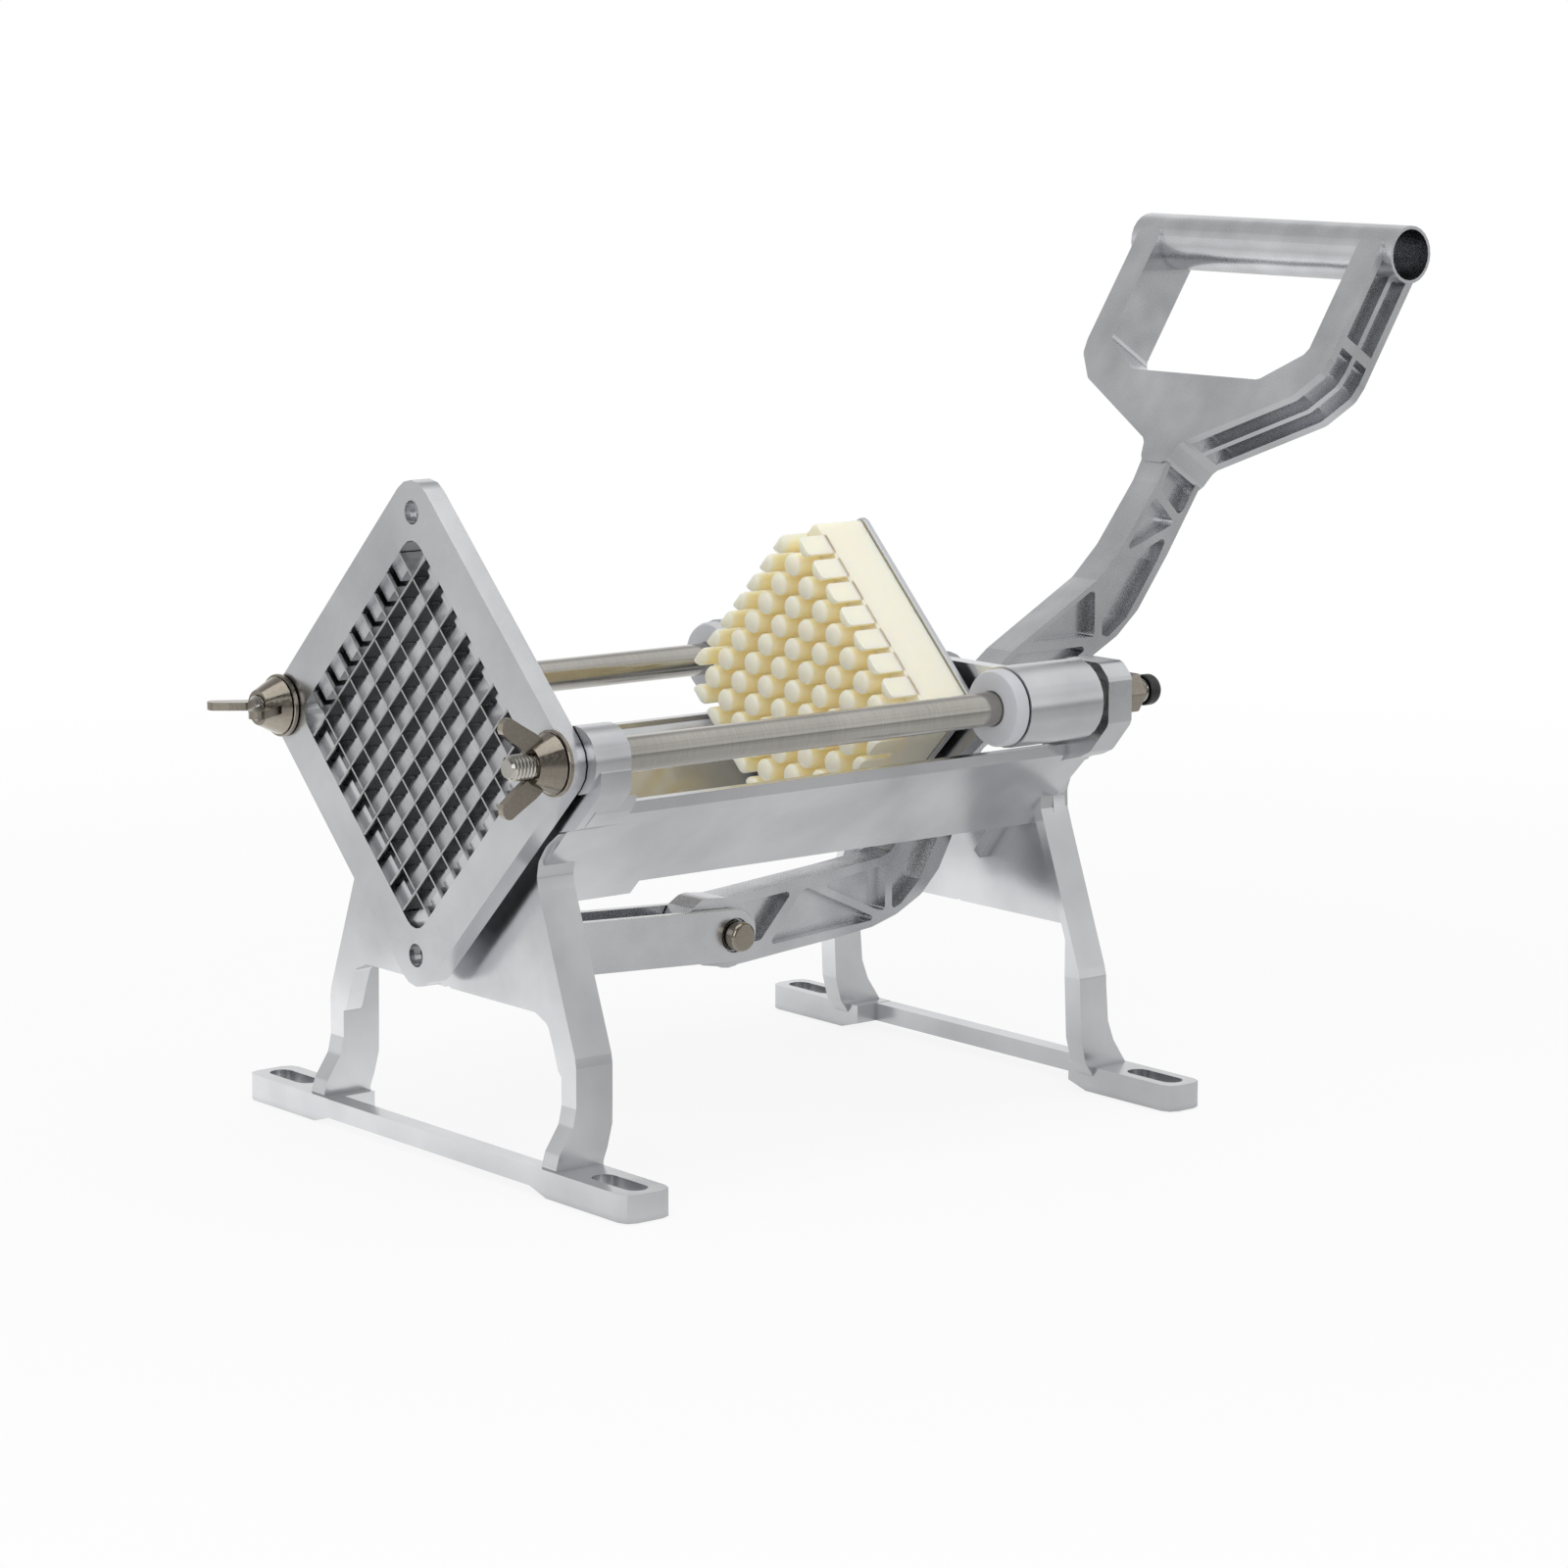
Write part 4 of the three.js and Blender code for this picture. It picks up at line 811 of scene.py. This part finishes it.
        mirrored = add_node(tree, "ShaderNodeEmission", {"Strength": self.mirror_strength},
                            {"Color": tones.outputs[0]})
        mixed = add_node(tree, "ShaderNodeMixShader", links={
            0: rays.outputs["Is Glossy Ray"], 1: plain.outputs[0], 2: mirrored.outputs[0]})
        add_node(tree, "ShaderNodeOutputMaterial", links={"Surface": mixed.outputs[0]})
        floor.data.materials.append(material)


@dataclass
class Stand:
    """Base casting: two stands, side rails and slotted feet in one piece."""

    edge: float = 0.9

    def build(self, palette: Palette) -> None:
        """Makes the casting with rounded edges."""
        palette.place_rounded("base_casting", "base", Slot.CAST, self.edge)


@dataclass
class BladeGrid:
    """Blade holder and its sixteen half-lapped blades."""

    edge: float = 0.7
    edge_angle: float = 40.0
    blades_each_way: int = 8
    shallow_depth: float = 6.1

    def build(self, palette: Palette) -> None:
        """Rounds the holder, cuts one set of blades shallower and dresses both.

        Args:
            palette: Gives each piece its finish.
        """
        palette.place_rounded("blade_holder", "base", Slot.CAST, self.edge, angle=self.edge_angle)
        for i in range(1, self.blades_each_way + 1):
            # The shallow set is the same steel with its faces painted dark, a painted reflection
            palette.place(self.shallow(f"blade_a{i}"), "base", Slot.BLADE, f"blade_a{i}", finish=STEEL_PAINTED_DARK_REFLECTION)
            palette.dress_node(f"blade_b{i}", Slot.BLADE)

    def shallow(self, node: str) -> bpy.types.Object:
        """Cuts a copy of a blade to the shallower depth of its set.

        Args:
            node: Name of the blade.

        Returns:
            The blade, closed at its new back.
        """
        piece = merged_copy(node)
        shape = bmesh.new()
        shape.from_mesh(piece.data)
        cut_off(shape, Vector((BLADE_FRONT + self.shallow_depth * MM, 0, 0)), (1, 0, 0))
        shape.to_mesh(piece.data)
        shape.free()
        return settle(piece)


@dataclass
class Pusher:
    """Pegged block with its backing plate and screws.

    Crossings whose distances from the middle add up to more than the rows less corner_cut are corners, and
    no peg stands there.
    """

    half_side: float = 38.0
    corner: float = 2.5
    front: float = 154.3
    back: float = 172.7
    rows: int = 9
    screws: int = 4
    peg_radius: float = 3.65
    shoulder_radius: float = 3.25
    tip_radius: float = 2.4
    peg_tip: float = 143.9
    shoulder_length: float = 0.7
    tip_length: float = 0.5
    root: float = 1.0
    peg_steps: int = 28
    corner_cut: float = 1.5
    corner_steps: int = 8
    edge: float = 0.5
    edge_angle: float = 40.0
    small_edge: float = 0.4
    smooth_degrees: float = 35.0
    lean_degrees: float = 45.0

    def build(self, palette: Palette) -> None:
        """Makes block and pegs as one piece, then plate and screws.

        Args:
            palette: Gives each piece its finish.
        """
        palette.place(self.block(), "carriage", Slot.IVORY, "pusher_block")
        palette.place_rounded("pusher_plate", "carriage", Slot.PLATE, self.small_edge)
        for i in range(1, self.screws + 1):
            palette.place_rounded(f"pusher_screw_{i}", "carriage", Slot.STEEL, self.small_edge)

    def peg_tree(self) -> bpy.types.NodeTree:
        """Builds geometry nodes that stand a peg on each crossing of a square grid but its corners.

        Returns:
            The tree, with its sizes as named inputs.
        """
        tree = bpy.data.node_groups.new("peg_field", "GeometryNodeTree")
        sizes = {
            "Pitch": PITCH * MM, "Peg Radius": self.peg_radius * MM,
            "Shoulder Radius": self.shoulder_radius * MM, "Tip Radius": self.tip_radius * MM,
            "Shaft Length": self.shaft_length() * MM, "Shoulder Length": self.shoulder_length * MM,
            "Tip Length": self.tip_length * MM,
        }
        for name, value in sizes.items():
            socket = tree.interface.new_socket(name, in_out="INPUT", socket_type="NodeSocketFloat")
            socket.default_value = value
        tree.interface.new_socket("Pegs", in_out="OUTPUT", socket_type="NodeSocketGeometry")
        given = add_node(tree, "NodeGroupInput").outputs
        span = add_node(tree, "ShaderNodeMath", {1: self.rows - 1}, {0: given["Pitch"]}, operation="MULTIPLY")
        grid = add_node(tree, "GeometryNodeMeshGrid", {"Vertices X": self.rows, "Vertices Y": self.rows},
                        {"Size X": span.outputs[0], "Size Y": span.outputs[0]})
        position = add_node(tree, "GeometryNodeInputPosition")
        reach = add_node(tree, "ShaderNodeVectorMath", links={0: position.outputs[0]}, operation="ABSOLUTE")
        split = add_node(tree, "ShaderNodeSeparateXYZ", links={0: reach.outputs[0]})
        total = add_node(tree, "ShaderNodeMath", links={0: split.outputs[0], 1: split.outputs[1]},
                         operation="ADD")
        limit = add_node(tree, "ShaderNodeMath", {1: self.rows - self.corner_cut}, {0: given["Pitch"]},
                         operation="MULTIPLY")
        corner = add_node(tree, "FunctionNodeCompare", links={0: total.outputs[0], 1: limit.outputs[0]},
                          data_type="FLOAT", operation="GREATER_THAN")
        kept = add_node(tree, "GeometryNodeDeleteGeometry", links={0: grid.outputs[0], 1: corner.outputs[0]})
        shaft = add_node(tree, "GeometryNodeMeshCylinder", {"Vertices": self.peg_steps},
                         {"Radius": given["Peg Radius"], "Depth": given["Shaft Length"]})
        peg = add_node(tree, "GeometryNodeJoinGeometry")
        tree.links.new(shaft.outputs[0], peg.inputs[0])
        rise = add_node(tree, "ShaderNodeMath", {1: 0.5}, {0: given["Shaft Length"]}, operation="MULTIPLY")
        for wide, narrow, length in (("Peg Radius", "Shoulder Radius", "Shoulder Length"),
                                     ("Shoulder Radius", "Tip Radius", "Tip Length")):
            cone = add_node(tree, "GeometryNodeMeshCone", {"Vertices": self.peg_steps}, {
                "Radius Top": given[narrow], "Radius Bottom": given[wide], "Depth": given[length]})
            offset = add_node(tree, "ShaderNodeCombineXYZ", links={2: rise.outputs[0]})
            lifted = add_node(tree, "GeometryNodeTransform",
                              links={0: cone.outputs[0], "Translation": offset.outputs[0]})
            tree.links.new(lifted.outputs[0], peg.inputs[0])
            rise = add_node(tree, "ShaderNodeMath", links={0: rise.outputs[0], 1: given[length]},
                            operation="ADD")
        field = add_node(tree, "GeometryNodeInstanceOnPoints", links={0: kept.outputs[0], 2: peg.outputs[0]})
        real = add_node(tree, "GeometryNodeRealizeInstances", links={0: field.outputs[0]})
        painted = add_node(tree, "GeometryNodeSetMaterial", links={0: real.outputs[0]})
        add_node(tree, "NodeGroupOutput", links={0: painted.outputs[0]})
        return tree

    def pegs(self) -> bmesh.types.BMesh:
        """Makes the field of pegs and cuts it flush with the sides of the block.

        Returns:
            The pegs, upright in axes of their own.
        """
        carrier = object_from(bmesh.new(), "peg_carrier")
        modifier = carrier.modifiers.new("peg_field", "NODES")
        modifier.node_group = self.peg_tree()
        mesh = evaluated_mesh(carrier)
        bpy.data.objects.remove(carrier)
        shape = bmesh.new()
        shape.from_mesh(mesh)
        bmesh.ops.remove_doubles(shape, verts=shape.verts, dist=WELD)
        inner = [f for f in shape.faces if len(f.verts) == self.peg_steps and self.is_joint(f)]
        bmesh.ops.delete(shape, geom=inner, context="FACES_ONLY")
        for normal in ((1, 0, 0), (-1, 0, 0), (0, 1, 0), (0, -1, 0)):
            cut_off(shape, Vector(normal) * self.half_side * MM, normal)
        return shape

    def shaft_length(self) -> float:
        """Length of the straight part of a peg, with the root that stands in the block."""
        return self.front + self.root - self.peg_tip - self.tip_length - self.shoulder_length

    def is_joint(self, face: bmesh.types.BMFace) -> bool:
        """Whether a face is hidden where two lengths of a peg meet."""
        height = face.calc_center_median().z - self.shaft_length() * MM / 2
        return min(abs(height), abs(height - self.shoulder_length * MM)) < WELD

    def block(self) -> bpy.types.Object:
        """Makes the block and joins its pegs to it.

        Returns:
            The block with its pegs, in place.
        """
        pegs = self.pegs()
        middle = self.front + self.root - self.shaft_length() / 2
        stand_up = Matrix(((0, 0, -1), (1, 0, 0), (0, -1, 0))).to_4x4()
        turn = Matrix.Rotation(math.radians(self.lean_degrees), 4, "X")
        pegs.transform(Matrix.Translation(at(middle, 0, GRID_Z)) @ turn @ stand_up)
        body = bmesh.new()
        bmesh.ops.create_cube(body, size=1.0)
        size = Vector(((self.back - self.front) * MM, 2 * self.half_side * MM, 2 * self.half_side * MM))
        body.transform(Matrix.Translation(at((self.front + self.back) / 2, 0, GRID_Z)) @ turn
                       @ Matrix.Diagonal((*size, 1)))
        along = [e for e in body.edges if abs((e.verts[0].co - e.verts[1].co).normalized().x) > ALONG_X]
        bmesh.ops.bevel(body, geom=along, offset=self.corner * MM, segments=self.corner_steps,
                        affect="EDGES", profile=0.5)
        piece = soften(object_from(body, "pusher_block_finished"), self.edge, FINE_STEPS, self.edge_angle)
        pegs_mesh = bpy.data.meshes.new("pegs")
        bmesh.ops.recalc_face_normals(pegs, faces=pegs.faces)
        pegs.to_mesh(pegs_mesh)
        pegs.free()
        whole = bmesh.new()
        whole.from_mesh(piece.data)
        whole.from_mesh(pegs_mesh)
        whole.to_mesh(piece.data)
        whole.free()
        bpy.data.meshes.remove(pegs_mesh)
        return settle(piece, self.smooth_degrees)


@dataclass
class Carriage:
    """Cross casting that slides on the rods, with its two nylon bushings."""

    edge: float = 0.9
    bore: float = 5.3
    flange: float = 12.0
    flange_front: float = 166.5
    flange_back: float = 171.5
    sleeve: float = 7.5
    sleeve_back: float = 201.7
    lead: float = 1.4
    lead_shares: Pair = (0.4, 0.2)
    mouth: float = 0.4
    back_edge: float = 0.2

    def build(self, palette: Palette) -> None:
        """Makes the casting and both bushings.

        Args:
            palette: Gives each piece its finish.
        """
        palette.place_rounded("carriage_casting", "carriage", Slot.CAST, self.edge)
        for label in (NEAR, FAR):
            bushing = lathe(f"bushing_{label}_finished", self.bushing_profile(),
                            (side_of(label) * ROD_Y, ROD_Z))
            palette.place(bushing, "carriage", Slot.NYLON, f"bushing_{label}")

    def bushing_profile(self) -> list[Pair]:
        """Profile of a flanged bushing with a rounded front edge.

        Returns:
            The closed profile.
        """
        front, back, lead = self.flange_front, self.flange_back, self.lead
        inward, rearward = self.lead_shares
        return [
            (self.bore, front + self.mouth), (self.bore + self.mouth, front), (self.flange - lead, front),
            (self.flange - inward * lead, front + rearward * lead), (self.flange, front + lead),
            (self.flange, back - self.back_edge), (self.flange - self.back_edge, back), (self.sleeve, back),
            (self.sleeve, self.sleeve_back), (self.bore, self.sleeve_back), (self.bore, front + self.mouth),
        ]


@dataclass
class GuideRods:
    """Two polished rods with washers, wing nuts, nuts and caps.

    Each washer is given by its front, its back and its radius, and each tip of a rod by how much it is
    narrower than the thread and how far its cone reaches.
    """

    radius: float = 5.25
    thread: float = 3.9
    near_front: float = -18.0
    far_front: float = -12.0
    front_shoulder: float = 12.0
    rear_shoulder: float = 216.0
    rear: float = 232.6
    pitch: float = 1.25
    thread_depth: float = 0.55
    thread_inset: float = 0.8
    run_out: float = 3.0
    neck: float = 2.0
    relief: float = 1.0
    front_tip: Pair = (1.2, 0.7)
    rear_tip: Pair = (1.0, 0.6)
    shoulder_edge: float = 0.4
    front_washer: Triple = (-2.7, -1.1, 9.7)
    rear_washer: Triple = (217.3, 218.9, 8.2)
    washer_gap: float = 0.1
    washer_edge: float = 0.25
    nut_edge: float = 0.5
    wing_edge: float = 0.7
    wing_angle: float = 20.0

    def build(self, palette: Palette) -> None:
        """Makes the set on each side.

        Args:
            palette: Gives each piece its finish.
        """
        for label in (NEAR, FAR):
            centre = (side_of(label) * ROD_Y, ROD_Z)
            front = self.near_front if label == NEAR else self.far_front
            rod = lathe(f"guide_rod_{label}_finished", self.rod_profile(front), centre)
            palette.place(rod, "base", Slot.STEEL, f"guide_rod_{label}")
            for place, size in (("front", self.front_washer), ("rear", self.rear_washer)):
                node = f"{place}_washer_{label}"
                washer = lathe(f"{node}_finished", self.ring_profile(*size), centre)
                palette.place(washer, "base", Slot.NICKEL, node)
            palette.place_rounded(f"rear_nut_{label}", "base", Slot.NICKEL, self.nut_edge,
                                  segments=FINE_STEPS)
            cap = lathe(f"rod_cap_{label}_finished", self.cap_profile(), centre, SMALL_ROUND_STEPS)
            palette.place(cap, "base", Slot.BLACK, f"rod_cap_{label}")
            palette.place_rounded(f"wing_nut_{label}", f"wing_nut_{label}", Slot.NICKEL, self.wing_edge,
                                  segments=FINE_STEPS, angle=self.wing_angle)

    def rod_profile(self, front: float) -> list[Pair]:
        """Profile of a rod that steps down to a thread at each end.

        Args:
            front: Where the rod starts.

        Returns:
            Radius and distance of each point.
        """
        thread, depth, edge = self.thread, self.thread_depth, self.shoulder_edge
        narrower, reach = self.front_tip
        profile = [(0, front), (thread - narrower, front), (thread - depth, front + reach)]
        profile += thread_profile(front + self.thread_inset, self.front_shoulder - self.run_out, thread,
                                  self.pitch, depth)
        profile += [(thread, self.front_shoulder - self.neck), (thread, self.front_shoulder),
                    (self.radius - edge, self.front_shoulder), (self.radius, self.front_shoulder + edge),
                    (self.radius, self.rear_shoulder - edge), (self.radius - edge, self.rear_shoulder),
                    (thread, self.rear_shoulder)]
        profile += thread_profile(self.rear_shoulder + self.relief, self.rear - self.thread_inset, thread,
                                  self.pitch, depth)
        narrower, reach = self.rear_tip
        return profile + [(thread - depth, self.rear - reach), (thread - narrower, self.rear), (0, self.rear)]

    def ring_profile(self, front: float, back: float, outer: float) -> list[Pair]:
        """Profile of a flat washer with soft outer edges.

        Args:
            front: Where it starts along the rod.
            back: Where it ends.
            outer: Outer radius.

        Returns:
            The closed profile.
        """
        inner, soft = self.thread + self.washer_gap, self.washer_edge
        return [(inner, front), (outer - soft, front), (outer, front + soft), (outer, back - soft),
                (outer - soft, back), (inner, back), (inner, front)]

    def cap_profile(self) -> list[Pair]:
        """Profile of a round-ended cap with an open mouth.

        Returns:
            Radius and distance of each point.
        """
        mouth, bottom, dome, end = 230.6, 233.0, 233.4, 236.5
        outer, bore, lip, steps = 4.95, 4.2, 0.3, 10
        profile = [(0, bottom), (bore, bottom), (bore, mouth), (outer - lip, mouth), (outer, mouth + lip)]
        for i in range(steps):
            angle = math.pi / 2 * i / steps
            profile.append((outer * math.cos(angle), dome + (end - dome) * math.sin(angle)))
        return profile + [(0, end)]


@dataclass
class Linkage:
    """Lever with its handle, the link bars, and the pins that they turn on."""

    PINS = {"carriage_pin": "carriage", "front_pin": "base", "link_pin_core": "lever",
            "link_pin_head": "link", "link_pin_tail": "link"}
    CLIPS = {"carriage_pin_clip": "carriage", "front_pin_clip": "base", "link_pin_clip": "link"}

    edge: float = 0.8
    bar_edge: float = 0.5
    pin_edge: float = 0.4
    clip_edge: float = 0.2
    spacer_edge: float = 0.3

    def build(self, palette: Palette) -> None:
        """Makes the lever, the bars, the pins with their clips and the spacer.

        Args:
            palette: Gives each piece its finish.
        """
        palette.place_rounded("handle_lever", "lever", Slot.CAST, self.edge, TUMBLED_ALUMINIUM)
        for label in (NEAR, FAR):
            palette.place_rounded(f"link_bar_{label}", "link", Slot.CAST, self.bar_edge, TUMBLED_ALUMINIUM)
        for node, body in self.PINS.items():
            palette.place_rounded(node, body, Slot.NICKEL, self.pin_edge, segments=FINE_STEPS)
        for node, body in self.CLIPS.items():
            palette.place_rounded(node, body, Slot.STEEL, self.clip_edge)
        palette.place_rounded("link_spacer", "base", Slot.PLATE, self.spacer_edge)


def main() -> None:
    """Builds the studio and every sub-assembly in order."""
    logging.basicConfig(level=logging.INFO, format="%(name)s: %(message)s")
    Camera().build()
    Studio().build()
    palette = Palette()
    for part in (Stand(), BladeGrid(), Pusher(), Carriage(), GuideRods(), Linkage()):
        part.build(palette)


if __name__ == "__main__":
    main()
